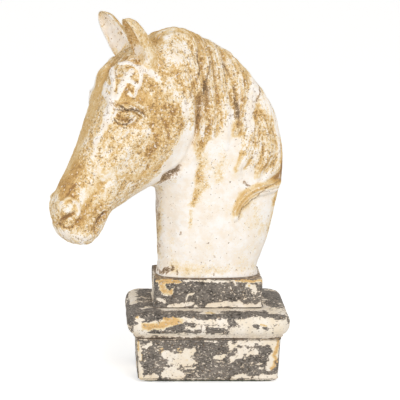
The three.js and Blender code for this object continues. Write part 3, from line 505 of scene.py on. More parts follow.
NEAR_STAINS = [
    (15, 0.26, (0.4, 0.968), (0.306, 0.985), (0.229, 0.989), (0.161, 0.969), (0.141, 0.934),
     (0.13, 0.889)),
    (17, -0.5, (0.34, 0.94), (0.275, 0.925), (0.25, 0.893), (0.335, 0.9)),
    (24, 0.16, (0.391, 0.833), (0.301, 0.824), (0.243, 0.795)),
    (20, 0.2, (0.1, 0.97), (-0.045, 0.918), (-0.143, 0.862), (-0.2, 0.811)),
    (14, -0.75, (-0.245, 0.84), (-0.27, 0.77), (-0.245, 0.7), (-0.225, 0.631)),
    (26, 0.22, (0.097, 0.762), (0.08, 0.68)),
    (26, -0.35, (-0.02, 0.677), (-0.08, 0.634)),
    (7, 0.65, (-0.185, 0.711), (-0.183, 0.667), (-0.161, 0.63), (-0.147, 0.6), (-0.141, 0.573)),
    (9, -0.7, (-0.09, 0.68), (-0.122, 0.642)),
    (11, -0.7, (-0.235, 0.735), (-0.239, 0.667), (-0.227, 0.61)),
    (14, -0.38, (-0.33, 0.71), (-0.375, 0.655), (-0.419, 0.589)),
    (34, -0.16, (-0.25, 0.6), (-0.31, 0.53), (-0.33, 0.47)),
    (12, 0.35, (-0.289, 0.659), (-0.307, 0.637), (-0.357, 0.629)),
    (4.5, 0.7, (-0.194, 0.506), (-0.158, 0.488), (-0.145, 0.457), (-0.158, 0.43)),
    (6.5, 0.75, (-0.368, 0.487), (-0.33, 0.457), (-0.296, 0.429), (-0.288, 0.408)),
    (12, 0.25, (-0.35, 0.58), (-0.36, 0.53)),
    (8, 0.6, (-0.45, 0.52), (-0.458, 0.466), (-0.453, 0.421), (-0.431, 0.387)),
    (13, 0.95, (-0.48, 0.46), (-0.43, 0.39), (-0.35, 0.362), (-0.26, 0.348), (-0.21, 0.32),
     (-0.172, 0.275)),
    (7, 0.4, (0.21, 0.643), (0.221, 0.588)),
    (8, -0.6, (-0.114, 0.667), (-0.102, 0.623)),
]
FAR_STAINS = [
    (22, 0.25, (0.35, 0.97), (0.2, 0.93), (0.06, 0.86)),
    (18, -0.6, (0.22, 0.85), (0.14, 0.76), (0.1, 0.66)),
    (20, 0.3, (0.02, 0.96), (-0.12, 0.84), (-0.16, 0.7), (-0.18, 0.56)),
    (14, -0.7, (-0.2, 0.82), (-0.25, 0.7), (-0.26, 0.6)),
    (20, 0.25, (-0.3, 0.7), (-0.35, 0.55), (-0.34, 0.44)),
    (13, 0.45, (-0.45, 0.45), (-0.4, 0.38), (-0.3, 0.31)),
    (18, -0.4, (-0.42, 0.66), (-0.44, 0.54)),
]

# Where the wash lies smooth, not speckled: the brow, the jaw, the muzzle, the poll, the back of
# the mane and its lowest lock.
SMOOTH_PLACES = [
    (11, 0.8, (0.665, 0.74), (0.575, 0.745), (0.5, 0.73)),
    (9, 0.7, (0.649, 0.446), (0.505, 0.444), (0.403, 0.478)),
    (24, 0.7, (0.75, 0.45), (0.82, 0.38), (0.9, 0.3)),
    (14, 0.7, (0.9, 0.48), (0.95, 0.41), (0.99, 0.34)),
    (15, 0.9, (0.4, 0.968), (0.306, 0.985), (0.229, 0.989), (0.161, 0.969), (0.141, 0.934)),
    (13, 0.8, (-0.48, 0.46), (-0.43, 0.39), (-0.35, 0.362), (-0.26, 0.335), (-0.16, 0.25)),
    (22, 0.6, (-0.045, 0.93), (-0.17, 0.85), (-0.3, 0.76), (-0.42, 0.6), (-0.46, 0.45)),
]

# Dirt that settled in pockets, and painted shadow under the jaw, as the stains above.
HEAD_DIRT_AND_SHADE = [
    # A brown patch under the jaw, partly dirt and partly painted shadow.
    (8, 0.8, (0.34, 0.395), (0.284, 0.425), (0.235, 0.447)),
    (16, 0.4, (0.32, 0.39), (0.25, 0.42)),
    (4, 0.6, (0.34, 0.41), (0.28, 0.437), (0.215, 0.458)),
    (5, 0.25, (0.16, 0.76), (0.145, 0.7), (0.14, 0.62), (0.15, 0.56)),
    (2.2, 0.6, (0.998, 0.28), (0.96, 0.287), (0.938, 0.298)),
    (2.4, 1.2, (0.67, 0.716), (0.627, 0.71), (0.588, 0.697), (0.558, 0.686), (0.535, 0.676)),
    (2, 1.1, (0.69, 0.696), (0.67, 0.703), (0.64, 0.7)),
    (2.2, 1.2, (0.7, 0.66), (0.664, 0.65), (0.628, 0.65), (0.601, 0.668)),
    (11, 0.42, (0.695, 0.715), (0.641, 0.715), (0.578, 0.705), (0.523, 0.69)),
    (6, 0.3, (0.66, 0.683), (0.62, 0.683)),
    (16, 0.32, (0.39, 0.6), (0.4, 0.5)),
    (12, 0.4, (0.51, 0.41), (0.6, 0.36)),
    (1.8, 0.6, (1, 0.245), (0.974, 0.235), (0.94, 0.251), (0.9, 0.27)),
    (3, 1, (0.75, 0.285), (0.785, 0.255), (0.795, 0.21)),
]
NEAR_DIRT = [
    (12, 0.45, (0.12, 0.81), (0.105, 0.77), (0.1, 0.715)),
    (7, 0.4, (0.19, 0.7), (0.175, 0.64)),
    (4.5, 1.3, (0.3, 0.012), (0.262, 0.026), (0.22, 0.04)),
    (3, 1.1, (0.19, 0.03), (0.2, 0.008)),
    (3, 0.6, (0.36, 0.37), (0.328, 0.276), (0.318, 0.156), (0.312, 0.06)),
    (2.6, 0.9, (0.176, 0.193), (0.18, 0.184)),
    (2.2, 0.8, (0.081, 0.121)),
    (2.4, 0.8, (-0.046, 0.082), (-0.04, 0.086)),
    (3.2, 0.8, (0.07, 0.86), (0.103, 0.807), (0.117, 0.747)),
    (5, 0.4, (-0.193, 0.771), (-0.185, 0.701), (-0.171, 0.64), (-0.145, 0.577)),
    (3, 0.6, (-0.153, 0.711), (-0.163, 0.668), (-0.154, 0.608)),
    (2.6, 0.6, (-0.409, 0.57), (-0.421, 0.537), (-0.415, 0.497), (-0.398, 0.464),
     (-0.366, 0.443)),
    (2.6, 0.5, (-0.331, 0.54), (-0.315, 0.503), (-0.306, 0.482)),
    (2.6, 1, (-0.212, 0.618)),
    (3.4, 0.9, (-0.211, 0.386), (-0.243, 0.372)),
    (2.4, 0.8, (-0.43, 0.385), (-0.34, 0.35), (-0.26, 0.32), (-0.2, 0.285), (-0.185, 0.25)),
    (3.6, 1.1, (0.168, 0.903), (0.162, 0.87), (0.172, 0.831)),
    (4, 0.7, (0.203, 0.765), (0.208, 0.739)),
    (8, 0.3, (0.14, 0.751), (0.138, 0.684), (0.13, 0.615)),
    (13, 0.35, (0.1, 0.76), (0.08, 0.7)),
    (4, 0.8, (-0.012, 0.87), (-0.033, 0.816), (-0.048, 0.777)),
    (5, 0.8, (-0.039, 0.853), (-0.09, 0.815)),
    (5, 0.9, (-0.118, 0.77), (-0.143, 0.702), (-0.155, 0.65)),
    (3, 0.9, (-0.29, 0.775), (-0.294, 0.741), (-0.286, 0.71)),
    (10, 0.3, (0.3, 0.93), (0.22, 0.8)),
    (14, 0.3, (0.05, 0.86), (0.02, 0.76)),
]
FAR_DIRT = [
    (4.5, 0.8, (0.09, 0.9), (0.05, 0.8), (0.02, 0.71)),
    (4.5, 0.8, (-0.08, 0.86), (-0.12, 0.75), (-0.14, 0.64)),
    (4, 0.8, (-0.2, 0.8), (-0.22, 0.7), (-0.22, 0.6)),
    (3.4, 0.7, (-0.43, 0.36), (-0.35, 0.325), (-0.3, 0.28)),
]

# Mouldings: inset as a share of the course's scale in millimetres, and height as a share of
# its height, from the foot up.
BLOCK_LINE = (3, [
    (-0.5, 0), (-0.2, 0.05), (0, 0.13), (0, 0.9), (0.3, 0.96), (1, 1),
])
CAP_LINE = (14, [
    (0.82, 0), (0.68, 0.04), (0.7, 0.1), (0.42, 0.17), (0.16, 0.3), (0.03, 0.43), (0, 0.55),
    (0.08, 0.72), (0.3, 0.86), (0.6, 0.94), (1, 0.985), (1.6, 1),
])
BOX_LINE = (3, [
    (2.7, 0), (1.7, 0.03), (1.1, 0.08), (1, 0.13), (0.05, 0.93), (0, 0.96), (0.15, 1),
])

# Wear on the front of each course, where the paint is bare, where the gold undercoat shows and
# where the paint stayed dark: half width in millimetres, amount, then places as shares of the
# half length across and of the height up. Bare places on the top are shares of the half length
# and of the half depth.
BLOCK_WEAR = {
    "bare": [
        (6, 1.6, (-0.71, -0.01), (-0.5, 0.07), (-0.32, 0.13)),
        (4.5, 1.6, (-0.22, -0.01), (0.01, -0.01)),
        (6.5, 1.6, (0.01, 0.07), (0.38, 0.14), (0.61, 0.07)),
        (5, 1.5, (0.7, 0.02), (0.96, 0.07)),
        (5, 1.5, (-0.92, 0.3), (-0.81, 0.21)),
        (7, 1.6, (-0.85, 0.8), (-0.81, 0.57), (-0.69, 0.53)),
        (5, 1.5, (-0.94, 0.93), (-0.53, 0.89)),
        (3.5, 1.4, (-0.46, 0.97), (0.01, 0.95), (0.47, 0.92)),
        (4.5, 1.5, (0.52, 0.96), (0.96, 0.93)),
        (4.5, 1.5, (0.71, 0.76), (0.84, 0.7), (0.83, 0.52)),
        (2.5, 1.2, (-0.41, 0.28), (-0.39, 0.41), (-0.28, 0.46)),
    ],
    "gold": [
        (6, 1.5, (-0.94, 0.93), (-0.53, 0.9)),
        (7, 1.3, (-0.85, 0.8), (-0.81, 0.57), (-0.69, 0.53)),
        (5, 1.4, (0.52, 0.96), (0.97, 0.93)),
        (3, 0.9, (0.72, 0.76)),
    ],
    "dark": [
        (2.5, 1.5, (-0.95, 0.78), (-0.95, 0.48)),
        (2, 1.4, (-0.78, 0.85), (-0.7, 0.59)),
        (3, 1.3, (-0.94, 1.02), (0, 1.01), (0.96, 1.02)),
    ],
}
CAP_WEAR = {
    "bare": [
        (5.5, 1.7, (-0.89, 0.19), (-0.45, 0.15), (0, 0.1), (0.45, 0.1), (0.95, 0.15)),
        (10, 1.6, (-0.8, 0.51), (-0.61, 0.61), (-0.36, 0.74)),
        (3, 1.4, (-0.56, 0.86), (-0.41, 0.87)),
        (5, 1.6, (-0.32, 0.79), (-0.15, 0.75), (0.03, 0.72), (0.21, 0.69)),
        (4.5, 1.5, (-0.29, 0.46), (-0.14, 0.46)),
        (4, 1.5, (-0.08, 0.54), (-0.08, 0.16)),
        (1.6, 1.3, (0, 0.53), (0.2, 0.55)),
        (12, 1.8, (0.36, 0.66), (0.55, 0.8), (0.76, 0.71), (0.94, 0.46)),
        (13, 1.8, (0.32, 0.3), (0.61, 0.33), (0.95, 0.35)),
        (7, 1.5, (-0.86, 0.77), (-0.88, 0.33)),
    ],
    "gold": [
        (9, 1.5, (-0.79, 0.54), (-0.61, 0.61), (-0.38, 0.74)),
        (3.5, 1.5, (-0.56, 0.86), (-0.41, 0.87)),
        (4, 1.4, (-0.89, 0.86)),
        (2.2, 1.3, (0.62, 0.61), (0.7, 0.62)),
        (2.4, 1.2, (0.83, 0.58)),
    ],
    "top": [
        (14, 1.6, (-0.95, -0.14), (-0.93, 0.44), (-0.83, 0.86), (-0.68, 0.96)),
        (8, 1.7, (-0.8, -0.54), (-0.7, -0.46), (-0.59, -0.54)),
        (17, 1.7, (-0.48, -0.6), (-0.21, -0.63), (0.03, -0.6), (0.3, -0.63), (0.62, -0.6)),
        (6, 1.1, (0.68, -0.3), (0.83, -0.6), (0.93, -0.75)),
    ],
    "dark": [
        (3, 1.8, (-0.61, 0.27), (-0.47, 0.49), (-0.3, 0.62)),
        (6, 1.9, (0.55, 0.58), (0.58, 0.51)),
        (5, 1.8, (0.67, 0.49), (0.71, 0.46)),
        (4, 1.7, (0.78, 0.58), (0.82, 0.61)),
        (2.2, 1.6, (0.77, 0.41), (0.78, 0.25)),
        (4.5, 1.5, (-0.7, 0.33), (-0.65, 0.31)),
        (2.6, 1.3, (-0.79, 0.56)),
        (5.5, 1.6, (-0.02, 0.41), (0.13, 0.41)),
        (4.5, 1.3, (-0.41, 0.33), (-0.24, 0.36)),
        (7, 1.4, (0.27, 0.73), (0.35, 0.58)),
        (5, 1.5, (-0.83, 0.92), (-0.3, 0.96), (0, 0.9), (0.45, 0.97), (0.91, 0.88)),
        (3.5, 1.5, (-0.9, 0.61)),
    ],
}
BOX_WEAR = {
    "bare": [
        (8, 1.6, (0.42, 0.92), (0.7, 0.94), (0.98, 0.92)),
        (8, 1.4, (0.3, 0.87), (0.4, 0.7), (0.49, 0.72)),
        (3.5, 1.5, (0.08, 0.57), (0.19, 0.57)),
        (4, 1.4, (0.54, 0.63), (0.65, 0.72)),
        (4.5, 1.5, (0.32, 0.54), (0.44, 0.56)),
        (9, 1.7, (-0.58, 0.63), (-0.44, 0.57), (-0.24, 0.69)),
        (7, 1.6, (-0.51, 0.47), (-0.23, 0.47)),
        (2, 1.3, (-0.32, 0.32), (-0.19, 0.31)),
        (8, 1.7, (-0.49, 0.29), (-0.61, 0.18), (-0.39, 0.16)),
        (9, 1.7, (-0.97, 0.34), (-0.95, 0.1), (-0.75, 0.07)),
        (4, 1.3, (-0.89, 0.79), (-0.79, 0.85)),
        (6, 1.6, (0.35, 0.04), (0.46, 0.13), (0.56, 0.04)),
        (7, 1.7, (0.67, 0.06), (0.82, 0.1), (0.98, 0.07)),
        (11, 1.6, (0.94, 0.9), (0.91, 0.63), (0.85, 0.37)),
        (3.5, 1.4, (-0.04, 0.96), (0.12, 0.93)),
        (3, 1.3, (0.71, 0.31), (0.75, 0.31)),
        (4.5, 1.2, (-0.98, 0.9), (-0.95, 0.6), (-0.97, 0.4)),
    ],
    "gold": [
        (5.5, 1.5, (0.97, 0.93), (0.95, 0.75), (0.91, 0.62), (0.93, 0.49), (0.9, 0.3)),
        (8, 1.4, (-0.65, 0.75), (-0.53, 0.85), (-0.4, 0.76)),
        (4, 1.2, (-0.98, 0.96), (-0.97, 0.69)),
        (4.5, 1.3, (-0.9, 0.62), (-0.92, 0.47)),
        (3, 1.2, (-0.56, 1)),
    ],
    "dark": [
        (5, 1.5, (0.36, 0.76), (0.38, 0.71)),
        (3, 1.2, (0.47, 0.91)),
        (3, 1.2, (0.67, 0.88)),
        (7, 1.5, (0.72, 0.75), (0.85, 0.69)),
        (6, 1.2, (0.56, 0.51), (0.81, 0.51)),
        (3, 1.2, (-0.58, 0.75), (-0.49, 0.81)),
    ],
}

# Courses of the plinth: radius of the corners, moulding, share of the half length down to which
# the top shows, wear, seed, and heights and reaches of the dirty joints, all in millimetres.
COURSES = {
    "neck_block": {
        "corner": 6, "line": BLOCK_LINE, "covered": 0.9, "wear": BLOCK_WEAR, "seed": 1,
        "joints": ((0, 1.4), (44, 1.5)),
    },
    "plinth_cap": {
        "corner": 24, "line": CAP_LINE, "covered": 0.6, "wear": CAP_WEAR, "seed": 2,
        "joints": ((2.5, 1.6),),
    },
    "plinth_box": {
        "corner": 9, "line": BOX_LINE, "covered": 0.95, "wear": BOX_WEAR, "seed": 3,
        "joints": ((67, 3),),
    },
}


# Noise and ramps

def lattice(cell, seed):
    """One fixed random value from 0 to 1 for each whole-number cell: its numbers times large
    odd factors, added, then folded over themselves."""
    mixed = (cell @ HASH_FACTORS + seed * HASH_SEED) & WORD
    mixed = ((mixed ^ (mixed >> HASH_SHIFTS[0])) * HASH_FOLD) & WORD
    return ((mixed ^ (mixed >> HASH_SHIFTS[1])) & HALF_WORD) / HALF_WORD


def noise(points, size, seed):
    """Smooth noise from -1 to 1: random corner values of cells `size` wide, blended along each
    axis by 3t^2 - 2t^3."""
    place = points / size
    cell = np.floor(place).astype(np.int64)
    f = place - cell
    f = f * f * (3 - 2 * f)
    total = np.zeros(len(points))
    for corner in itertools.product((0, 1), repeat=3):
        weight = np.prod(np.where(corner, f, 1 - f), axis=1)
        total += weight * lattice(cell + np.array(corner), seed)
    return 2 * total - 1


def clouds(points, name, step=0):
    """Named clouds: noise summed over octaves, each half the size of the last and a fixed share
    of its strength. The step moves the seed on."""
    strength, size, seed, octaves = CLOUDS[name]
    seed += step
    layers = (OCTAVE_SHARE ** k * noise(points, size / 2 ** k, seed + k) for k in range(octaves))
    return strength * sum(layers)


def pits(points, name, step=0):
    """Named round craters: a share of the cells holds one at a random place. Its depth is full
    at the middle, falls by (1 - (d/r)^2)^2, and is 0 outside. The step moves the seed on."""
    depth, size, radius, share, seed = PITS[name]
    seed += step
    place = points / size
    cell = np.floor(place).astype(np.int64)
    deepest = np.zeros(len(points))
    for beside in itertools.product((-1, 0, 1), repeat=3):
        home = cell + np.array(beside)
        centre = home + np.stack([lattice(home, seed + k) for k in range(3)], axis=1)
        reach = radius * (PIT_LEAST + (1 - PIT_LEAST) * lattice(home, seed + 3))
        ratio = np.linalg.norm((place - centre) * size, axis=1) / reach
        there = lattice(home, seed + 4) < share
        deepest = np.maximum(deepest, there * bump(ratio))
    return depth * deepest


def bump(ratio):
    """1 at the middle and 0 from a ratio of 1: (1 - r^2)^2."""
    return np.where(ratio < 1, (1 - np.minimum(ratio, 1) ** 2) ** 2, 0)


def smooth(value, low, high):
    """0 below low, 1 above high, and 3t^2 - 2t^3 between."""
    t = np.clip((value - low) / (high - low), 0, 1)
    return t * t * (3 - 2 * t)


def ramp(value, name):
    """The smooth rise between a named ramp's two levels."""
    return smooth(value, *RAMPS[name])


# Lines and masses drawn on a side

def spline_rows(table, places):
    """Rows between a table's rows, by a Catmull-Rom spline through each column."""
    last = len(table) - 1
    i = np.clip(np.floor(places).astype(int), 0, last - 1)
    f = (places - i)[:, None]
    back, here, on, after = (table[np.clip(i + k, 0, last)] for k in (-1, 0, 1, 2))
    cubic = 3 * (here - on) + after - back
    square = 2 * back - 5 * here + 4 * on - after
    return here + f / 2 * (on - back + f * (square + f * cubic))


def travelled(line):
    """How far along a line of points each of them lies, from 0."""
    return np.concatenate([[0], np.cumsum(np.hypot(*np.diff(line, axis=0).T))])


def along_line(x, z, places, reach, scale):
    """Distance to a smooth line through the places, which side of it, and how far along it, for
    the points nearer than reach. Each piece of the line is tried, and the nearest wins."""
    rough = np.array(places) * scale
    steps = CURVE_STEPS * (len(rough) - 1)
    line = spline_rows(rough, np.linspace(0, len(rough) - 1, steps + 1))
    low, high = line.min(0) - reach, line.max(0) + reach
    near = np.flatnonzero((x > low[0]) & (x < high[0]) & (z > low[1]) & (z < high[1]))
    px, pz = x[near], z[near]
    best = np.full(len(near), np.inf)
    side, along = np.zeros(len(near)), np.zeros(len(near))
    starts = travelled(line)
    lengths = np.hypot(*np.diff(line, axis=0).T)
    for k in range(steps):
        ax, az = line[k]
        dx, dz = line[k + 1] - line[k]
        t = np.clip(((px - ax) * dx + (pz - az) * dz) / lengths[k] ** 2, 0, 1)
        ox, oz = px - ax - t * dx, pz - az - t * dz
        distance = np.hypot(ox, oz)
        closer = distance < best
        best = np.where(closer, distance, best)
        side = np.where(closer, np.sign(dx * oz - dz * ox), side)
        along = np.where(closer, (starts[k] + t * lengths[k]) / starts[-1], along)
    inside = best < reach
    return near[inside], best[inside], side[inside], along[inside]


def stroked(x, z, strokes, scale):
    """Sum of lift times the bump of the distance over the half width, for every stroke. A stroke
    with one place is a round dab."""
    total = np.zeros(len(x))
    for width, lift, *places in strokes:
        if len(places) == 1:
            places.append((places[0][0] + DAB_SHARE, places[0][1]))
        near, distance, _, _ = along_line(x, z, places, width, scale)
        total[near] += lift * bump(distance / width)
    return total


def massed(x, z, masses):
    """Sum of lift times the bump of each ellipse's own distance ratio."""
    total = np.zeros(len(x))
    for place, long, high, tilt, lift in masses:
        cx, cz = np.array(place) * SIDE
        turn = math.radians(tilt)
        u = (x - cx) * math.cos(turn) + (z - cz) * math.sin(turn)
        v = (z - cz) * math.cos(turn) - (x - cx) * math.sin(turn)
        total += lift * bump(np.hypot(u / long, v / high))
    return total


def edge_depth(x, z, outline):
    """How deep a point lies inside a closed outline, in millimetres, and 0 outside: even-odd
    crossings say inside, and the nearest piece of the outline gives the depth."""
    corners = np.array(outline) * SIDE
    inside = np.zeros(len(x), bool)
    nearest = np.full(len(x), np.inf)
    for (ax, az), (bx, bz) in zip(corners, np.roll(corners, -1, axis=0)):
        if az != bz:
            crosses = (az > z) != (bz > z)
            inside ^= crosses & (x < (bx - ax) * (z - az) / (bz - az) + ax)
        dx, dz = bx - ax, bz - az
        t = np.clip(((x - ax) * dx + (z - az) * dz) / (dx * dx + dz * dz), 0, 1)
        nearest = np.minimum(nearest, np.hypot(x - ax - t * dx, z - az - t * dz))
    return np.where(inside, nearest, 0)


def locked(x, z, locks):
    """Height of the mane's locks, and places across and along their strands, in millimetres.
    Each lock is a ridge, lift * (1 - q^2)^roundness for q the distance over a half width that
    narrows to the tip, with cosine hairs along it. The highest lock wins."""
    height, strand, run = np.zeros(len(x)), np.zeros(len(x)), np.zeros(len(x))
    for number, (width, lift, *places) in enumerate(locks):
        near, distance, side, along = along_line(x, z, places, width, SIDE)
        q = np.minimum(distance / (width * (1 - LOCK_TAPER * along ** LOCK_TAPER_POWER)), 1)
        hairs = np.cos(side * q * HAIRS_PER_LOCK * math.pi) * HAIR_DEPTH * (1 - q)
        ridge = lift * ramp(along, "lock root") * (1 - LOCK_DROP * along ** LOCK_DROP_POWER)
        ridge *= (1 - q * q) ** LOCK_ROUNDNESS
        ridge *= 1 - HAIR_DEPTH + hairs
        wins = ridge > height[near]
        height[near[wins]] = ridge[wins]
        strand[near[wins]] = (side * q * width)[wins] + LOCK_SPAN * number
        run[near[wins]] = LOCK_RUN * along[wins]
    return height, strand, run


# The bust

def side_relief(x, z, side):
    """Height of the face and mane over the bare head, seen from one side, in millimetres, then
    the places of the mane's strands and how hairy it is. The first array fades at the median,
    the second runs over it."""
    locks, outline = (NEAR_LOCKS, NEAR_MANE) if side == "near" else (FAR_LOCKS, FAR_MANE)
    height, strand, run = locked(x, z, locks)
    mane = MANE_LIFT * ramp(edge_depth(x, z, outline), "mane edge") + height
    masses = massed(x, z, FACE_MASSES) + stroked(x, z, FACE_FOLDS, SIDE)
    strokes = stroked(x, z, FACE_STROKES, SIDE)
    return masses + mane, strokes, strand, run, np.clip(height / HAIRY_LIFT, 0, 1)


def side_paint(x, z, side):
    """Gold, and dirt with painted shadow under the jaw, on one side, and how mottled it is. The
    wash is a level inside its outline that fades over its edge, and the strokes of each list are
    added to it."""
    near = side == "near"
    washed = ramp(edge_depth(x, z, NEAR_WASH if near else FAR_WASH), "wash edge")
    gold = WASH_LEVEL * washed
    gold += stroked(x, z, HEAD_STAINS + NECK_STAINS + (NEAR_STAINS if near else FAR_STAINS), SIDE)
    # The head's strokes hold the painted shadow under the jaw as well as dirt.
    dirt_and_shade = stroked(x, z, HEAD_DIRT_AND_SHADE + (NEAR_DIRT if near else FAR_DIRT), SIDE)
    smoothed = np.clip(stroked(x, z, SMOOTH_PLACES, SIDE), 0, SMOOTH_MOST)
    return gold, dirt_and_shade, washed * (1 - smoothed) + stroked(x, z, NECK_STAINS, SIDE)


def both_sides(flat, warp):
    """Relief and paint of the whole head, by name: each side's own, blended at the median."""
    x, y, z = flat.T
    nearness = ramp(-y, "near side")
    keys = ("large", "fine", "strand", "run", "hairy", "gold", "dirt_and_shade", "mottle")
    mix = dict.fromkeys(keys, 0)
    for side, weight in (("near", nearness), ("far", 1 - nearness)):
        values = side_relief(x, z, side) + side_paint(x + warp[0], z + warp[1], side)
        for key, value in zip(keys, values):
            mix[key] = mix[key] + weight * value
    return mix


def with_forehead(mix, flat, warp):
    """The forelock's curls, rubbed pale, and the forehead's stains and dirt, on the slanted
    side: each point slid along a level slant and a dip to the median."""
    aside = np.abs(flat[:, 1])
    x, z = flat[:, 0] + FOREHEAD_SLANT * aside, flat[:, 2] - FOREHEAD_DIP * aside
    curls = stroked(x, z, FORELOCK_STROKES, SIDE)
    warped = (x + warp[0] / 2, z + warp[1] / 2)
    gold = stroked(*warped, FOREHEAD_STAINS, SIDE) - FORELOCK_RUB * ramp(curls, "curl top")
    dirt_and_shade = stroked(*warped, FOREHEAD_DIRT, SIDE)
    added = {"fine": curls, "gold": gold, "dirt_and_shade": dirt_and_shade}
    return mix | {key: mix[key] + value for key, value in added.items()}


def bridged(flat, warp, normals):
    """1 on the front of the face, in a band beside the median that faces ahead, and 0 beyond it,
    behind the brow and on the nose."""
    x, y, z = flat.T
    band = 1 - ramp(np.abs(y - BRIDGE_SHIFT + warp[0]), "beside bridge")
    face = ramp(-x / HEAD_REACH, "bridge ahead") * ramp(z / BUST_RISE, "bridge up")
    return band * face * ramp(-normals[..., 0].ravel(), "facing ahead")


def patina(flat, mottle):
    """How unevenly the wash took: broad clouds, streaks that run up and back along the face, and
    small patches, the last two stronger where the skin is mottled."""
    tilt = math.radians(STREAK_TILT)
    along = flat[:, 0] * math.cos(tilt) + flat[:, 2] * math.sin(tilt)
    across = flat[:, 2] * math.cos(tilt) - flat[:, 0] * math.sin(tilt)
    streaked = np.stack([along / STREAK_STRETCH, flat[:, 1], across], axis=1)
    fine = clouds(streaked, "wash streaks") + clouds(flat, "wash patches")
    return clouds(flat, "broad wash") + (PATINA_LEAST + (1 - PATINA_LEAST) * mottle) * fine


def half_sections(rows, points):
    """Half sections for all rows. In polar form g and h on |g|^n + |h|^n = 1 run from the throat
    side (g = 1) round the widest line (g = 0) to the crest side (g = -1), with n changing at
    the widest line. Each half section is then spaced evenly along its length."""
    angle = np.linspace(0, math.pi, FINE_ANGLES)
    c, s = np.cos(angle), np.sin(angle)
    va, vu, da, du, width, widest, nv, nd = (column[:, None] for column in rows.T)
    n = np.where(c > 0, nv, nd)
    r = (np.abs(c) ** n + np.abs(s) ** n) ** (-1 / n)
    g = c * r
    t = np.where(g > 0, widest * (1 - g), widest - (1 - widest) * g)
    dense = np.stack([
        -(va + t * (da - va)) * HEAD_REACH,
        s * r * width * HALF_WIDTH,
        (vu + t * (du - vu)) * BUST_RISE,
    ], axis=-1)
    dense[:, (0, -1), 1] = 0
    lengths = np.linalg.norm(np.diff(dense, axis=1), axis=2)
    travel = np.concatenate([np.zeros((len(rows), 1)), np.cumsum(lengths, axis=1)], axis=1)
    even = np.linspace(0, 1, points + 1)
    sections = np.empty((len(rows), points + 1, 3))
    for row in range(len(rows)):
        for axis in range(3):
            line = dense[row, :, axis]
            sections[row, :, axis] = np.interp(even * travel[row, -1], travel[row], line)
    return sections


def ring_places(count):
    """Places along the table that space the rings evenly along the crest and widest line."""
    fine = np.linspace(0, len(SECTION_SHARES) - 1, FINE_ROWS * len(SECTION_SHARES))
    rows = spline_rows(SECTION_SHARES, fine)
    throat, crest = rows[:, 0:2] * SIDE, rows[:, 2:4] * SIDE
    middle = throat + (crest - throat) * rows[:, 5:6]
    step = sum(np.hypot(*np.diff(line, axis=0).T) for line in (crest, middle))
    travel = np.concatenate([[0], np.cumsum(step)])
    return np.interp(np.linspace(0, travel[-1], count), travel, fine)


def grid_normals(grid):
    """Unit normals of a grid closed across its rows: the cross product of its differences."""
    down = np.gradient(grid, axis=0)
    across = np.roll(grid, -1, axis=1) - np.roll(grid, 1, axis=1)
    normal = np.cross(down, across)
    normal /= np.maximum(np.linalg.norm(normal, axis=-1, keepdims=True), TINY)
    out = grid - grid.mean(axis=1, keepdims=True)
    return normal if np.sum(normal * out) > 0 else -normal


def turned(points):
    """Points turned about the upright axis by an angle that grows, by 3t^2 - 2t^3, as they go
    up and forward, then raised to the seat."""
    tilt = math.radians(TURN_TILT)
    x, y, z = (points[..., k] for k in range(3))
    along = math.sin(tilt) * z - math.cos(tilt) * x
    angle = math.radians(HEAD_TURN) * ramp(along, "head turn")
    c, s = np.cos(angle), np.sin(angle)
    return np.stack([x * c - y * s, x * s + y * c, z + seat_z], axis=-1)


def blurred(field):
    """Mean of a closed grid's field over a square window: running sums along each axis."""
    for axis in (0, 1):
        pad = [(BLUR_REACH + 1, BLUR_REACH) if a == axis else (0, 0) for a in (0, 1)]
        total = np.cumsum(np.pad(field, pad, mode="wrap" if axis else "edge"), axis=axis)
        width = 2 * BLUR_REACH + 1
        high = np.take(total, range(width, total.shape[axis]), axis=axis)
        low = np.take(total, range(total.shape[axis] - width), axis=axis)
        field = (high - low) / width
    return field


def hollowness(lift):
    """How far each point lies under the mean of its surroundings, in millimetres."""
    return blurred(blurred(lift)) - lift


def bust_lift(flat, mix, spots):
    """How far each point is pushed out, in millimetres: the relief, where the masses and the mane
    fade at the median, with lumps and grain, all fading to the foot, less the pits and spots."""
    across, up = flat[:, 1], flat[:, 2]
    fade = ramp(np.abs(across), "off median")
    lumps = clouds(flat, "skin lumps")
    lumps += (GRAIN_LEAST + GRAIN_MOTTLED * mix["mottle"]) * clouds(flat, "skin grain")
    lumps += (1 - ramp(up, "foot")) * clouds(flat, "foot lumps")
    relief = mix["large"] * fade + mix["fine"] * (FINE_LEAST + (1 - FINE_LEAST) * fade)
    raised = (relief + lumps) * ramp(up, "foot line")
    return raised - pits(flat, "skin") * mix["mottle"] - SPOT_DEPTH * spots


def bust_paint(flat, mix, spots, hollow):
    """Fields of the skin: the gold wash with its patina, deeper in the crevices, dirt in the spots
    and hollows with painted shadow under the jaw, the rubbed ridges, and the places of the mane's
    strands in metres."""
    creviced = CREVICE_GOLD * ramp(hollow, "crevice").ravel()
    creviced *= CREVICE_LEAST + (1 - CREVICE_LEAST) * mix["mottle"]
    settled = HOLLOW_DIRT * ramp(hollow, "skin hollow").ravel()
    fields = {
        "gold": mix["gold"] + patina(flat, mix["mottle"]) + creviced,
        "dirt_and_shade": mix["dirt_and_shade"] + SPOT_DIRT * spots + settled,
        "rub": ramp(-hollow, "skin ridge"),
        "mottle": mix["mottle"],
        "strand": mix["strand"] * MM,
        "run": mix["run"] * MM / STRAND_STRETCH,
        "hairy": mix["hairy"],
    }
    return {key: value.reshape(hollow.shape) for key, value in fields.items()}


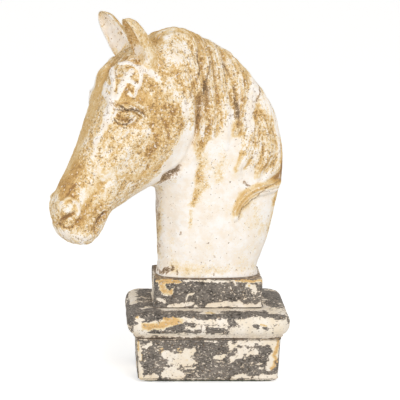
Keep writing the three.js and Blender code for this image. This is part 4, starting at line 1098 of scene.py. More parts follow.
def bust_skin():
    """The skin of the head and neck, facing straight ahead, as a closed grid with its paint:
    the sections, pushed out along their normals."""
    half = half_sections(spline_rows(SECTION_SHARES, ring_places(RINGS)), HALF_POINTS)
    grid = np.concatenate([half, half[:, -2:0:-1] * (1, -1, 1)], axis=1)
    normals = grid_normals(grid)
    flat = grid.reshape(-1, 3)
    warp = [clouds(flat, "skin warp", k) for k in range(2)]
    mix = with_forehead(both_sides(flat, warp), flat, warp)
    bridge = bridged(flat, warp, normals)
    mix["mottle"] = np.clip(MOTTLE_LEAST + mix["mottle"], 0, 1) * (1 - BRIDGE_CALM * bridge)
    mix["gold"] += (BRIDGE_GOLD - mix["gold"]) * bridge
    spots = pits(flat, "spots") + pits(flat, "small spots")
    lift = bust_lift(flat, mix, spots).reshape(grid.shape[:2])
    return grid + normals * lift[..., None], bust_paint(flat, mix, spots, hollowness(lift))


def inner_wall(sign):
    """The hollow's wall on one side: the same sections drawn in by the casting's wall, from
    above the neck's floor to behind the lips."""
    last = INNER_LAST_SHARE * (len(SECTION_SHARES) - 1)
    rows = spline_rows(SECTION_SHARES, np.linspace(INNER_FIRST_ROW, last, RINGS))
    chord = rows[:, 2:4] - rows[:, 0:2]
    inset = np.minimum(CAST_WALL / np.hypot(*(chord * SIDE).T), INSET_MOST_SHARE)[:, None]
    drawn = rows.copy()
    drawn[:, 0:2] += inset * chord
    drawn[:, 2:4] -= inset * chord
    drawn[:, 4] -= CAST_WALL / HALF_WIDTH
    return half_sections(drawn, INNER_POINTS) * (1, sign, 1)


def shell_half(name, skin, paint, sign, material):
    """One half of the hollow casting: its part of the skin, an inner wall, and a flat rim on the
    parting plane between them. Fans close the foot and the lips, inside and out."""
    columns = np.arange(HALF_POINTS + 1)
    if sign < 0:
        columns = -columns % (2 * HALF_POINTS)
    outer, inner = skin[:, columns].copy(), inner_wall(sign)
    first_inner = outer[..., 0].size
    first_hub = first_inner + inner[..., 0].size
    points, quads, fans, loops = [], [], [], []
    for grid, start, hub in ((outer, 0, first_hub), (inner, first_inner, first_hub + 2)):
        grid[:, (0, -1), 1] = sign * SEAM_GAP
        points.append(grid.reshape(-1, 3))
        index = start + np.arange(grid[..., 0].size).reshape(grid.shape[:2])
        quads.append(grid_quads(index))
        loops.append(np.concatenate([index[:, 0], [hub + 1], index[::-1, -1], [hub]]))
        for end in (0, 1):
            row = index[-end]
            fans.append(np.stack([np.full(len(row) - 1, hub + end), row[:-1], row[1:]], axis=1))
    points += [(grid[end, :1] + grid[end, -1:]) / 2 for grid in (outer, inner) for end in (0, -1)]
    rim = np.stack([loops[0], np.roll(loops[0], -1), np.roll(loops[1], -1), loops[1]], axis=1)
    fields = {key: value[:, columns] for key, value in paint.items()}
    faces = [quads[0], rim, quads[1]] + fans
    return mesh_piece(name, turned(np.concatenate(points)), faces, material, fields, 1)


# Mesh making

def grid_quads(index, closed=False):
    """Faces between the rows of a grid of vertex numbers, joined across its sides if closed."""
    if closed:
        index = np.concatenate([index, index[:, :1]], axis=1)
    corners = (index[:-1, :-1], index[:-1, 1:], index[1:, 1:], index[1:, :-1])
    return np.stack(corners, axis=-1).reshape(-1, 4)


def closed_rings(grid):
    """Points and faces of stacked rings, with a fan over the first and over the last."""
    count = grid[..., 0].size
    index = np.arange(count).reshape(grid.shape[:2])
    faces = [grid_quads(index, closed=True)]
    hubs = [grid[end].mean(axis=0, keepdims=True) for end in (0, -1)]
    for end, hub in ((0, count), (-1, count + 1)):
        ring = index[end]
        faces.append(np.stack([np.full(len(ring), hub), ring, np.roll(ring, -1)], axis=1))
    return np.concatenate([grid.reshape(-1, 3)] + hubs), faces


def placed(name, data):
    """A new object that holds a mesh, a lamp or a camera, linked to the scene."""
    item = bpy.data.objects.new(name, data)
    bpy.context.scene.collection.objects.link(item)
    return item


def mesh_piece(name, points, faces, material, fields=None, smooth_groups=None):
    """A mesh in metres from points in millimetres and groups of faces, kept inside the frame's
    box, with all its faces turned to point out. Groups past the smooth ones are flat. Its fields
    are given for the first points and are 0 on the others."""
    points = np.clip(points * MM, np.array(cad_low), np.array(cad_high))
    mesh = bpy.data.meshes.new(name)
    mesh.from_pydata(points, [], [tuple(face) for group in faces for face in group.tolist()])
    work = bmesh.new()
    work.from_mesh(mesh)
    bmesh.ops.recalc_face_normals(work, faces=work.faces)
    work.to_mesh(mesh)
    work.free()
    shaded = np.ones(len(mesh.polygons), bool)
    if smooth_groups is not None:
        shaded[sum(len(group) for group in faces[:smooth_groups]):] = False
    mesh.polygons.foreach_set("use_smooth", shaded)
    for key, values in (fields or {}).items():
        padded = np.zeros(len(points), np.float32)
        padded[:values.size] = values.ravel()
        mesh.attributes.new(key, "FLOAT", "POINT").data.foreach_set("value", padded)
    mesh.materials.append(material)
    mesh.update()
    piece = placed(name, mesh)
    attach(piece, "root")
    return piece


def stands_for(piece, node):
    """Hides the CAD piece that the new one replaces."""
    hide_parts(node)


# Ears

def ear_axes(sign):
    """The ear's root, and its directions along to the tip, across, and to the back of the leaf,
    the last two swivelled about the first."""
    ahead, aside, up = EAR_ROOT_SHARES
    root = np.array((-ahead * HEAD_REACH, sign * aside * HALF_WIDTH, up * BUST_RISE))
    axis = np.array(EAR_TIPS[sign]) * (-1, sign, 1)
    axis /= np.linalg.norm(axis)
    across = np.cross(axis, np.cross(axis, (0, 1, 0)))
    across /= np.linalg.norm(across)
    back = np.cross(across, axis)
    back *= np.sign(back[0])
    swivel = Matrix.Rotation(math.radians(EAR_SWIVELS[sign]), 3, Vector(axis))
    across, back = (np.array(swivel @ Vector(direction)) for direction in (across, back))
    return root, axis, across, back


def ear_paint(sign, flat, u, s, front, hollow):
    """Fields of an ear: gold that is rubbed pale in the cup and at the root, with blots and dirt
    in the cup."""
    pale_top = EAR_PALE_TOPS[sign]
    pale = smooth(-s, *EAR_PALE_EDGES[sign]) * ramp(u, "ear cup")
    pale *= 1 - smooth(u, pale_top, pale_top + EAR_PALE_FADE)
    blots = ramp(clouds(flat, EAR_BLOTS[sign]), "ear blots").reshape(hollow.shape)
    patchy = patina(flat, EAR_PATINA).reshape(hollow.shape)
    gold = EAR_GOLD - EAR_GOLD_RUBBED * pale - EAR_GOLD_BASE * (1 - ramp(u, "ear root"))
    dirt_and_shade = EAR_DIRT_HOLLOW * ramp(hollow, "ear hollow")
    return {
        "gold": gold + patchy + EAR_GOLD_BLOTS * blots * pale,
        "dirt_and_shade": dirt_and_shade + (EAR_DIRT_FRONT + EAR_DIRT_BLOTS * blots) * front,
        "rub": EAR_RUB * ramp(-hollow, "ear ridge"),
        "mottle": EAR_MOTTLE - EAR_MOTTLE_PALE * pale,
    }


def ear_leaf(name, sign, material):
    """A cupped leaf with a rounded rim and a round tip, where the rings shrink by
    sqrt(1 - t^2). Round each ring x = w cos a, and the depth is d sin a behind and
    d (1 - 2 cup) sin a in front, so a cup over a half hollows the front. It is lifted by lumps,
    by the rim and by folds, cos(3 pi cos a), in the cup, less the pits."""
    root, axis, across, back = ear_axes(sign)
    u = 1 - np.linspace(1, EAR_LAST_SHARE, EAR_RINGS) ** EAR_RING_BIAS
    rows = spline_rows(EAR_RING_SHARES, u * (len(EAR_RING_SHARES) - 1))
    wide, deep, cup = (column[:, None] for column in rows.T)
    u = u[:, None]
    tip = np.clip((u - 1) / EAR_TIP_SHARE + 1, 0, 1)
    wide, deep = (share * np.sqrt(1 - tip ** 2) for share in (wide, deep))
    angle = np.linspace(0, 2 * math.pi, EAR_POINTS, endpoint=False)
    c, s = np.cos(angle), np.sin(angle)
    depth = np.where(s > 0, s, -s * (2 * cup - 1)) * deep * EAR_DEPTH / 2
    sideways = wide * EAR_WIDTH / 2 * c
    sink = EAR_SINK_SHARE * EAR_LENGTH
    rise = u * (EAR_LENGTH + sink) - sink + 0 * c
    grid = root + rise[..., None] * axis + sideways[..., None] * across + depth[..., None] * back
    flat = grid.reshape(-1, 3)
    front = (s < 0) * ramp(u, "ear cup") * ramp(np.abs(s), "ear front")
    rim = ramp(1 - np.abs(s), "ear rim") * ramp(u, "ear root")
    rough = EAR_HOLES_LEAST + (1 - EAR_HOLES_LEAST) * front
    holes = rough * pits(flat, "ear").reshape(rough.shape)
    lumps = clouds(flat, "ear lumps").reshape(rough.shape)
    folds = EAR_FOLD * front * np.cos(EAR_FOLDS * math.pi * c)
    lift = lumps + EAR_RIM * rim + folds - holes
    points, faces = closed_rings(grid + grid_normals(grid) * lift[..., None])
    fields = ear_paint(sign, flat, u, s, front, hollowness(lift))
    return mesh_piece(name, turned(points), faces, material, fields)


# Plinth courses

def rounded_outline(half_length, half_depth, corner):
    """Core points and directions, evenly spaced round a rectangle with round corners. A point
    of the outline is its core point plus the corner's radius times its direction."""
    cores, angles = [], []
    for quarter, signs in enumerate(((1, 1), (-1, 1), (-1, -1), (1, -1))):
        for angle in np.linspace(quarter, quarter + 1, ARC_STEPS):
            cores.append(np.array(signs) * (half_length - corner, half_depth - corner))
            angles.append(angle * math.pi / 2)
    cores, angles = np.array(cores + cores[:1]), np.array(angles + [2 * math.pi])
    travel = travelled(cores + corner * np.stack([np.cos(angles), np.sin(angles)], axis=1))
    even = np.arange(0, travel[-1] - COURSE_STEP / 2, COURSE_STEP)
    angle = np.interp(even, travel, angles)
    core = np.stack([np.interp(even, travel, column) for column in cores.T], axis=1)
    return core, np.stack([np.cos(angle), np.sin(angle)], axis=1)


def moulded(box, scale, shares):
    """A course's outer moulding, from its foot up, as rows of inset, height, spread and whether
    they show, spaced evenly along a spline through the shares of the scale and the height."""
    height = box[1][2] - box[0][2]
    line = np.array(shares) * (scale, height)
    fine = spline_rows(line, np.linspace(0, len(line) - 1, FINE_LINE * len(line)))
    travel = travelled(fine)
    even = np.linspace(0, travel[-1], round(travel[-1] / COURSE_STEP) + 1)
    inset, up = (np.interp(even, travel, column) for column in fine.T)
    return [(e, z, 1, 1) for e, z in zip(inset, up)]


def course_grid(box, corner, rows):
    """Rings of a course. Each row's inset draws the outline in, first from the corner's radius
    and past a share of it from the core, and its spread scales the ring about the centre."""
    half_length, half_depth = (box[1] - box[0])[:2] / 2
    core, direction = rounded_outline(half_length, half_depth, corner)
    inset, height, spread, _ = (column[:, None] for column in rows.T)
    radius = np.maximum(corner - inset, corner * CORNER_LEAST_SHARE)
    drawn = inset - (corner - radius)
    grid = np.empty((len(rows), len(core), 3))
    for axis, half in enumerate((half_length, half_depth)):
        shrink = 1 - drawn / (half - corner)
        grid[..., axis] = (core[:, axis] * shrink + direction[:, axis] * radius) * spread
    grid[..., 2] = box[0][2] + height
    return grid


def edge_share(normals):
    """1 on the arrises, where a normal leans evenly between two axes, and 0 on the flats."""
    return ramp(1 - np.max(np.abs(normals.reshape(-1, 3)), axis=1), "arris")


def course_paint(flat, normals, box, wear, seed):
    """Dark paint and gold undercoat left on a course: a level plus broad clouds, and on the front
    less the bare strokes and plus the dark ones. The gold strokes are the front's undercoat."""
    scale = (box[1][0], box[1][2] - box[0][2])
    warp = [clouds(flat, "paint warp", k) for k in range(2)]
    x, z = flat[:, 0] + warp[0], flat[:, 2] - box[0][2] + warp[1]
    front = ramp(-normals[..., 1].ravel(), "facing front") * (flat[:, 1] < 0)
    cloud = clouds(flat, "paint", seed)
    ahead, elsewhere = (level + patchy * cloud for level, patchy in (PAINT_FRONT, PAINT_ELSEWHERE))
    bare, undercoat, kept = (stroked(x, z, wear[key], scale) for key in ("bare", "gold", "dark"))
    dark = front * (ahead - bare + kept) + (1 - front) * elsewhere
    on_top = ramp(normals[..., 2].ravel(), "facing up")
    dark -= on_top * stroked(x, flat[:, 1] + warp[1], wear.get("top", []), box[1][:2])
    other = ramp(clouds(flat, "undercoat", seed), "undercoat")
    return dark, front * undercoat + (1 - front) * other


def course_piece(node, rows, extra=()):
    """One course of the plinth. Its rings are lifted by lumps and by the film of the paint where
    that is left, less the chips along the arrises and the pits, and dirt lies in the hollows and
    along the joints. The extra grids join it as they are."""
    box, course = boxes[node], COURSES[node]
    seed = course["seed"]
    rows = np.array(rows)
    grid = course_grid(box, course["corner"], rows)
    normals = grid_normals(grid)
    shape = grid.shape[:2]
    flat = grid.reshape(-1, 3)
    dark, gold = course_paint(flat, normals, box, course["wear"], seed)
    mask = ramp(dark + clouds(flat, "paint edge"), "paint")
    chips = pits(flat, "chips", seed) * edge_share(normals)
    lumps = clouds(flat, "course lumps") + clouds(flat, "course grain") - COURSE_SETBACK
    lift = PAINT_FILM * (mask - 1) + lumps - CHIP_DEPTH * chips - pits(flat, "course", seed)
    lift = lift.reshape(shape) * rows[:, 3:]
    hollow = hollowness(lift)
    joints = sum(smooth(reach - np.abs(rows[:, 1:2] - height), 0, reach)
                 for height, reach in course["joints"])
    fields = {
        "dark": dark - CHIP_BARE * chips,
        "gold": gold,
        "dirt_and_shade": ramp(hollow, "course hollow") + joints,
        "rub": ramp(-hollow, "course ridge"),
    }
    points, faces = closed_rings(grid + normals * lift[..., None])
    for block in extra:
        more, more_faces = closed_rings(block)
        faces += [group + len(points) for group in more_faces]
        points = np.concatenate([points, more])
    piece = mesh_piece(f"{node}_skin", points, faces, materials["worn_paint"], fields)
    stands_for(piece, node)


def flat_rows(inset, height, spreads, shown):
    """Rows of a flat face: rings of one inset and height, scaled by each spread."""
    return [(inset, height, spread, shown) for spread in spreads]


def hidden_spreads(start, end):
    """A few even spreads, for the rings of a face that no view shows."""
    return np.linspace(start, end, HIDDEN_ROWS)


def solid_rows(node):
    """Rows of a course from the middle of its foot round its moulding to the middle of its top.
    The top's rings are fine as far in as the next course, and few under it."""
    box, covered = boxes[node], COURSES[node]["covered"]
    side = moulded(box, *COURSES[node]["line"])
    fine = np.linspace(1, covered, round((1 - covered) * box[1][0] / COURSE_STEP) + 1)[1:]
    foot = flat_rows(side[0][0], 0, hidden_spreads(HUB_SPREAD, 1)[:-1], 0)
    top_inset, top = side[-1][:2]
    middle = flat_rows(top_inset, top, hidden_spreads(covered, HUB_SPREAD)[1:], 0)
    return foot + side + flat_rows(top_inset, top, fine, 1) + middle


def hollow_box_rows():
    """The box's rows: out along the deck's underside, down the inner wall, under the rim, then
    up its moulding and in over its top."""
    low, high = boxes["plinth_box"]
    under = high[2] - low[2] - BOX_DECK
    outer = [row for row in solid_rows("plinth_box") if row[2] == 1 or row[1] > under]
    deck = flat_rows(BOX_WALL, under, hidden_spreads(HUB_SPREAD, 1), 0)
    wall = [(BOX_WALL, z, 1, 0) for z in np.linspace(under, 0, WALL_ROWS)[1:]]
    rim = [(e, 0, 1, 0) for e in np.linspace(BOX_WALL, outer[0][0], RIM_ROWS)[1:-1]]
    return deck + wall + rim + outer


def boss_blocks():
    """The four corner bosses that the base board is screwed to."""
    low, high = boxes["plinth_box"]
    top = high[2] - BOX_DECK
    foot = low[2] + BOARD_THICK
    half = BOSS_SIDE / 2
    block = [np.array((-half, -half, foot)), np.array((half, half, top))]
    rows = [(BOSS_EDGE, 0, HUB_SPREAD, 0), (BOSS_EDGE, 0, 1, 0), (0, BOSS_EDGE, 1, 0)]
    rows += [(0, top - foot, 1, 0), (0, top - foot, HUB_SPREAD, 0)]
    ring = course_grid(block, BOSS_CORNER, np.array(rows))
    reach = high[:2] - BOX_WALL - half
    return [ring + (sx * reach[0], sy * reach[1], 0) for sx in (-1, 1) for sy in (-1, 1)]


def felt_pad():
    """A pad of wool felt. Its edge is a half circle as high as the pad, h (1 - cos a) in and
    h (1 + sin a) up for h half its thickness, drawn in unevenly by noise."""
    box = boxes["base_felt"]
    thick = box[1][2] - box[0][2]
    angle = np.linspace(-math.pi / 2, math.pi / 2, FELT_EDGE_ROWS)
    edge = [(thick / 2 * (1 - math.cos(a)), thick / 2 * (1 + math.sin(a)), 1, 1) for a in angle]
    spreads = hidden_spreads(HUB_SPREAD, 1)[:-1]
    foot, top = edge[0], edge[-1]
    rows = flat_rows(foot[0], 0, spreads, 0) + edge + flat_rows(top[0], thick, spreads[::-1], 0)
    rows = np.array(rows)
    grid = course_grid(box, COURSES["plinth_box"]["corner"], rows)
    fuzz = -FELT_FUZZ * (1 + clouds(grid.reshape(-1, 3), "felt").reshape(grid.shape[:2]))
    skin = grid + grid_normals(grid) * (fuzz * rows[:, 3:])[..., None]
    skin[..., 2] = np.clip(skin[..., 2], box[0][2], box[1][2])
    piece = mesh_piece("felt_pad", *closed_rings(skin), materials["green_felt"])
    stands_for(piece, "base_felt")


# Materials

def colour(code):
    """sRGB hex to linear: c / 12.92, or ((c + 0.055) / 1.055)^2.4 above 0.04045."""
    parts = [int(code[i:i + 2], 16) / 255 for i in (1, 3, 5)]
    return [p / 12.92 if p <= 0.04045 else ((p + 0.055) / 1.055) ** 2.4 for p in parts] + [1]


def add(tree, kind, links=None, settings=None):
    """Adds a node. Settings in small letters are the node's own and the others are its inputs;
    links go from an input to the output that feeds it."""
    node = tree.nodes.new(kind)
    for key, value in (settings or {}).items():
        if isinstance(key, str) and key.islower():
            setattr(node, key, value)
        else:
            node.inputs[key].default_value = value
    for key, source in (links or {}).items():
        tree.links.new(source, node.inputs[key])
    return node


def start_material(name, **settings):
    """A material with its shader's own sockets set, and its object coordinates."""
    material = bpy.data.materials.new(name)
    material.use_nodes = True
    tree = material.node_tree
    shader = tree.nodes["Principled BSDF"]
    for key, value in settings.items():
        shader.inputs[key.replace("_", " ")].default_value = value
    place = add(tree, "ShaderNodeTexCoord").outputs["Object"]
    return material, tree, shader, place


def grains(tree, place, sizes, detail=3):
    """Noise around zero for each grain size in millimetres, from -0.5 to 0.5 or so."""
    found = []
    for size in sizes:
        settings = {"Scale": 1 / (size * MM), "Detail": detail, "Roughness": GRAIN_ROUGHNESS}
        texture = add(tree, "ShaderNodeTexNoise", {"Vector": place}, settings)
        centred = {0: texture.outputs["Fac"]}
        found.append(add(tree, "ShaderNodeMath", centred, {"operation": "SUBTRACT", 1: 0.5}))
    return [node.outputs[0] for node in found]


def weighed(tree, terms, start=0):
    """Sum of value times weight for each pair. A weight is a number or another output."""
    total = None
    for value, weight in terms:
        links, settings = {0: value}, {"operation": "MULTIPLY_ADD", 2: start}
        if isinstance(weight, (int, float)):
            settings[1] = weight
        else:
            links[1] = weight
        if total is not None:
            links[2] = total
        total = add(tree, "ShaderNodeMath", links, settings).outputs[0]
    return total


def layered(tree, under, layers):
    """Colours laid one over the other. Each has its hex or output, and a value that brings it in
    smoothly between two levels, up to a strength."""
    for code, value, low, high, strength in layers:
        settings = {"interpolation_type": "SMOOTHSTEP", 1: low, 2: high, 4: strength}
        mask = add(tree, "ShaderNodeMapRange", {0: value}, settings).outputs[0]
        links = {0: mask, 6: under}
        settings = {"data_type": "RGBA"}
        if isinstance(code, str):
            settings[7] = colour(code)
        else:
            links[7] = code
        under = add(tree, "ShaderNodeMix", links, settings).outputs[2]
    return under


def mixed(tree, value, low, high, codes):
    """Two colours, one each side of a level of a value."""
    settings = {"data_type": "RGBA", 6: colour(codes[0]), 7: colour(codes[1])}
    level = add(tree, "ShaderNodeMapRange", {0: value}, {1: low, 2: high}).outputs[0]
    return add(tree, "ShaderNodeMix", {0: level}, settings).outputs[2]


def readings(tree, names):
    """Outputs of the surface's own fields, by name."""
    found = {}
    for name in names:
        node = add(tree, "ShaderNodeAttribute", None, {"attribute_name": name})
        found[name] = node.outputs["Fac"]
    return found


def dressed(material, shader, shade, relief=None, strength=0.5, depth=0.6):
    """The material with its colour linked to the shader, and its relief as so many millimetres
    of bump."""
    tree = material.node_tree
    tree.links.new(shade, shader.inputs["Base Color"])
    if relief is not None:
        settings = {"Strength": strength, "Distance": depth * MM}
        raised = add(tree, "ShaderNodeBump", {"Height": relief}, settings)
        tree.links.new(raised.outputs[0], shader.inputs["Normal"])
    return material


def aged_plaster():
    """Cast gypsum plaster, toned and rubbed back: matt and chalky, cream where it is worn, with a
    gold ochre wash left in the surface, brown dirt in its pores and creases, a brown painted
    shadow under the jaw, and fine dark and pale lines along the strands of the mane. The tone is
    the wash plus the grain, less the rub, and the deeper ochres come in one by one as it rises.
    The real dust is finer than 1.8 mm, and is drawn that coarse to show."""
    material, tree, shader, place = start_material("aged_plaster", Roughness=0.86, IOR=1.5)
    field = readings(tree, ("gold", "dirt_and_shade", "rub", "mottle", "strand", "run", "hairy"))
    broad, patch, speck, dust = grains(tree, place, (24, 8, 3.4, 1.8), 4)
    brown, chalk = grains(tree, place, (5.2, 4.3), 6)
    pore, crumb = grains(tree, place, (3.1, 3.7), 0)
    strands = add(tree, "ShaderNodeCombineXYZ", {0: field["strand"], 1: field["run"]}).outputs[0]
    hair = weighed(tree, [(grains(tree, strands, (2.6,), 1)[0], field["hairy"])])
    cloudy = weighed(tree, [(broad, 1), (patch, 0.8)])
    cream = mixed(tree, cloudy, -0.16, 0.16, ("#F5E9D9", "#FCF7F1"))
    grainy = weighed(tree, [(field["mottle"], 1)], 0.32)
    fine = weighed(tree, [(patch, 0.6), (speck, 1.2), (dust, 1.7)])
    tone = weighed(tree, [
        (fine, grainy), (field["gold"], 1), (field["rub"], -0.3), (hair, 1.5),
    ], -0.09)
    browned = weighed(tree, [(brown, 1), (field["mottle"], 0.1), (dust, 0.4)])
    chalked = weighed(tree, [(chalk, 1), (field["mottle"], 0.07), (dust, 0.4)])
    pored = weighed(tree, [(pore, 1), (patch, 0.35), (field["mottle"], 0.08), (tone, 0.05)])
    broken = weighed(tree, [(speck, 3), (dust, 4)], 0.75)
    soiled_and_shaded = weighed(tree, [(field["dirt_and_shade"], broken), (field["dirt_and_shade"], 0.35)])
    shade = layered(tree, cream, [
        ("#F3E2C4", tone, 0, 0.22, 0.9),
        ("#E7CB99", tone, 0.2, 0.5, 0.95),
        ("#D6AF70", tone, 0.46, 0.8, 0.95),
        ("#BF9558", tone, 0.8, 1.08, 0.9),
        ("#9A7345", tone, 1.08, 1.35, 0.9),
        ("#F8EBD2", chalked, 0.13, 0.22, 0.6),
        ("#FAEFDD", hair, 0.1, 0.2, 0.6),
        ("#987344", browned, 0.16, 0.25, 0.7),
        ("#FDF4E6", weighed(tree, [(crumb, 1), (field["mottle"], 0.06)]), 0.25, 0.32, 0.7),
        ("#8C6B42", pored, 0.29, 0.37, 0.75),
        ("#A07C4C", weighed(tree, [(hair, -1), (field["gold"], 0.06)]), 0.13, 0.26, 0.5),
        # Two browns for dirt and for the painted shadow under the jaw.
        ("#A98458", soiled_and_shaded, 0.3, 0.8, 0.75),
        ("#68543C", soiled_and_shaded, 0.8, 1.4, 0.85),
    ])
    relief = weighed(tree, [(speck, 0.9), (dust, 0.8), (hair, 0.7)])
    return dressed(material, shader, shade, relief)


def worn_paint():
    """Dark grey distemper over an orange undercoat on a cream ground, brushed by hand and worn
    through: matt and speckled, with ragged edges where a layer stops. The paint is what is left
    of it plus the grain, and the soot comes in where it passes a level. The brush's specks are
    drawn 1.5 mm wide to show."""
    material, tree, shader, place = start_material("worn_paint", Roughness=0.84, IOR=1.5)
    field = readings(tree, ("dark", "gold", "dirt_and_shade", "rub"))
    brushed = add(tree, "ShaderNodeMapping", {"Vector": place}, {"Scale": BRUSHED}).outputs[0]
    broad, patch = grains(tree, place, (22, 7), 4)
    speck, dust = grains(tree, brushed, (2.6, 1.5), 5)
    crumb, pore = grains(tree, place, (2.9, 3.3), 0)
    ground = mixed(tree, broad, -0.15, 0.15, ("#EFE0C8", "#F8EFE2"))
    stain = weighed(tree, [(field["gold"], 1), (patch, 2), (speck, 1.2)])
    paint = weighed(tree, [
        (field["dark"], 1), (patch, 2.2), (speck, 2.6), (dust, 1.4), (field["rub"], -0.25),
    ])
    soot = mixed(tree, weighed(tree, [(broad, 0.7), (speck, 1.1), (dust, 1.5)]), -0.32, 0.32,
                 ("#342F2B", "#938A80"))
    soiled_and_shaded = weighed(tree, [(field["dirt_and_shade"], 1), (dust, 0.9), (patch, 0.4)])
    shade = layered(tree, ground, [
        ("#EAD2A0", stain, 0.3, 0.6, 0.85),
        ("#DCB070", stain, 0.75, 1.15, 0.85),
        ("#A98250", weighed(tree, [(stain, 0.5), (speck, 2)]), 0.75, 1, 0.6),
        ("#9A8062", paint, 0.3, 0.46, 0.7),
        (soot, paint, 0.42, 0.6, 1),
        ("#D2C6B6", weighed(tree, [(crumb, 1), (patch, 0.4), (dust, 0.6)]), 0.19, 0.27, 0.8),
        ("#6E5B47", weighed(tree, [(pore, 1), (patch, 0.5)]), 0.24, 0.3, 0.75),
        ("#8A7054", soiled_and_shaded, 0.3, 0.9, 0.6),
        ("#4A3D31", soiled_and_shaded, 0.9, 1.5, 0.8),
    ])
    relief = weighed(tree, [(speck, 0.9), (dust, 0.9), (paint, 0.25)])
    return dressed(material, shader, shade, relief)


def plain_steel():
    """Zinc-plated steel, barrel plated: a soft grey shine with faint drag marks. Two sizes of
    noise blend two greys and set the roughness, the finer drawn 0.8 mm wide to show."""
    material, tree, shader, place = start_material("plain_steel", Metallic=1)
    streaks, grain = grains(tree, place, (9, 0.8), 2)
    shade = mixed(tree, weighed(tree, [(streaks, 1), (grain, 0.4)]), -0.2, 0.2,
                  ("#9DA0A2", "#C6C8C9"))
    rough = weighed(tree, [(streaks, 0.25), (grain, 0.15)], 0.38)
    tree.links.new(rough, shader.inputs["Roughness"])
    return dressed(material, shader, shade)


def beech_wood():
    """Turned beech dowel: pale pink brown, with short darker flecks along the grain. Noise
    drawn out along the dowel blends two browns."""
    material, tree, shader, place = start_material("beech_wood", Roughness=0.6)
    along = add(tree, "ShaderNodeMapping", {"Vector": place}, {"Scale": ALONG_DOWEL}).outputs[0]
    rings, flecks = grains(tree, along, (4, 0.9), 2)
    shade = mixed(tree, weighed(tree, [(rings, 1), (flecks, 0.8)]), -0.25, 0.25,
                  ("#B98F62", "#D9B68C"))
    return dressed(material, shader, shade)


def ply_board():
    """Birch plywood: thin layers along the edges and a brown, long grain on the faces. Noise
    drawn out along the board, plus a sine of the height for the layers, blends two browns."""
    material, tree, shader, place = start_material("ply_board", Roughness=0.7)
    along = add(tree, "ShaderNodeMapping", {"Vector": place}, {"Scale": ALONG_BOARD}).outputs[0]
    grain, pores = grains(tree, along, (5, 1.2), 3)
    height = add(tree, "ShaderNodeSeparateXYZ", {0: place}).outputs["Z"]
    turns = {"operation": "MULTIPLY", 1: 2 * math.pi / (PLY_LAYER * MM)}
    phase = add(tree, "ShaderNodeMath", {0: height}, turns).outputs[0]
    layers = add(tree, "ShaderNodeMath", {0: phase}, {"operation": "SINE"}).outputs[0]
    value = weighed(tree, [(grain, 1), (pores, 0.5), (layers, 0.12)])
    return dressed(material, shader, mixed(tree, value, -0.3, 0.3, ("#9A7347", "#C9A473")))


def green_felt():
    """Pressed wool felt: deep green with a soft nap of pale fibres. Two sizes of noise blend
    two greens, and the finer, drawn 0.7 mm wide to show, raises the nap."""
    material, tree, shader, place = start_material("green_felt", Roughness=0.95)
    shader.inputs["Sheen Weight"].default_value = 0.4
    nap, fibres = grains(tree, place, (4, 0.7), 4)
    value = weighed(tree, [(nap, 0.6), (fibres, 1.2)])
    shade = mixed(tree, value, -0.3, 0.3, ("#24402E", "#4C6B52"))
    return dressed(material, shader, shade, fibres, 0.6, 0.5)


# Floor, light and camera

def studio_floor():
    """A pale floor that keeps the object's shadow. Seen by the camera it gets a little light of
    its own, so that away from the shadow it meets the white background."""
    mesh = bpy.data.meshes.new("floor")
    signs = ((-1, -1), (1, -1), (1, 1), (-1, 1))
    corners = [(FLOOR_REACH * sx, FLOOR_REACH * sy, 0) for sx, sy in signs]
    mesh.from_pydata(corners, [], [(0, 1, 2, 3)])
    floor = placed("floor", mesh)
    material, tree, shader, _ = start_material("floor_white", Roughness=0.9)
    shader.inputs["Base Color"].default_value = colour("#F4F3F1")
    shader.inputs["Emission Color"].default_value = (1, 1, 1, 1)
    path = add(tree, "ShaderNodeLightPath")
    glow = add(tree, "ShaderNodeMath", {0: path.outputs["Is Camera Ray"]},
               {"operation": "MULTIPLY", 1: FLOOR_GLOW}).outputs[0]
    tree.links.new(glow, shader.inputs["Emission Strength"])
    mesh.materials.append(material)


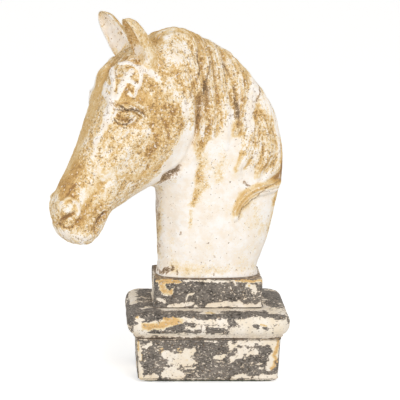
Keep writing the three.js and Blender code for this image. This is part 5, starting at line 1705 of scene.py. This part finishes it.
def studio_light():
    """White to the camera and to gloss, and soft even light on the object, with a large softbox
    from the viewer's right and a weaker one from the left."""
    world = bpy.data.worlds.new("studio")
    bpy.context.scene.world = world
    world.use_nodes = True
    tree = world.node_tree
    ground = tree.nodes["Background"]
    ground.inputs["Color"].default_value = (1, 1, 1, 1)
    path = add(tree, "ShaderNodeLightPath").outputs
    seen = path["Is Camera Ray"]
    for key in ("Is Glossy Ray", "Is Transmission Ray"):
        links = {0: seen, 1: path[key]}
        seen = add(tree, "ShaderNodeMath", links, {"operation": "MAXIMUM"}).outputs[0]
    level = add(tree, "ShaderNodeMapRange", {0: seen}, {3: AMBIENT, 4: 1}).outputs[0]
    tree.links.new(level, ground.inputs["Strength"])
    for name, (place, size, power) in SOFTBOXES.items():
        lamp = bpy.data.lights.new(name, "AREA")
        lamp.shape = "SQUARE"
        lamp.size = size
        lamp.energy = power
        box = placed(name, lamp)
        box.location = place
        aim = Vector(AIM) - Vector(place)
        box.rotation_euler = aim.to_track_quat("-Z", "Y").to_euler()


def studio_camera():
    """The photograph's view: a long lens a little left of square on, slightly above, and rolled
    by under a degree."""
    a, e, roll = (math.radians(angle) for angle in (VIEW_AZIMUTH, VIEW_ELEVATION, VIEW_ROLL))
    back = Vector((math.sin(a) * math.cos(e), -math.cos(a) * math.cos(e), math.sin(e)))
    level = Vector((math.cos(a), math.sin(a), 0))
    upright = back.cross(level)
    right = level * math.cos(roll) + upright * math.sin(roll)
    up = upright * math.cos(roll) - level * math.sin(roll)
    lens = bpy.data.cameras.new("view")
    lens.lens = VIEW_LENS
    lens.sensor_width = VIEW_SENSOR
    camera = placed("view", lens)
    turn = Matrix((right, up, back)).transposed().to_4x4()
    camera.matrix_world = Matrix.Translation(Vector(AIM) + back * VIEW_DISTANCE) @ turn
    bpy.context.scene.camera = camera


materials = {make.__name__: make() for make in (
    aged_plaster, worn_paint, plain_steel, beech_wood, ply_board, green_felt,
)}
plaster = materials["aged_plaster"]
skin, paint = bust_skin()
for node, sign in (("bust_left_shell", -1), ("bust_right_shell", 1)):
    stands_for(shell_half(f"{node}_skin", skin, paint, sign, plaster), node)
for node, sign in (("ear_left", -1), ("ear_right", 1)):
    stands_for(ear_leaf(f"{node}_skin", sign, plaster), node)
for node in ("neck_block", "plinth_cap"):
    course_piece(node, solid_rows(node))
course_piece("plinth_box", hollow_box_rows(), boss_blocks())
felt_pad()
for name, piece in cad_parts.items():
    for start, key in KEPT_FINISHES:
        if name.startswith(start):
            for holder in piece.material_slots:
                holder.material = materials[key]

studio_floor()
studio_light()
studio_camera()
scene = bpy.context.scene
scene.view_settings.view_transform = "Standard"
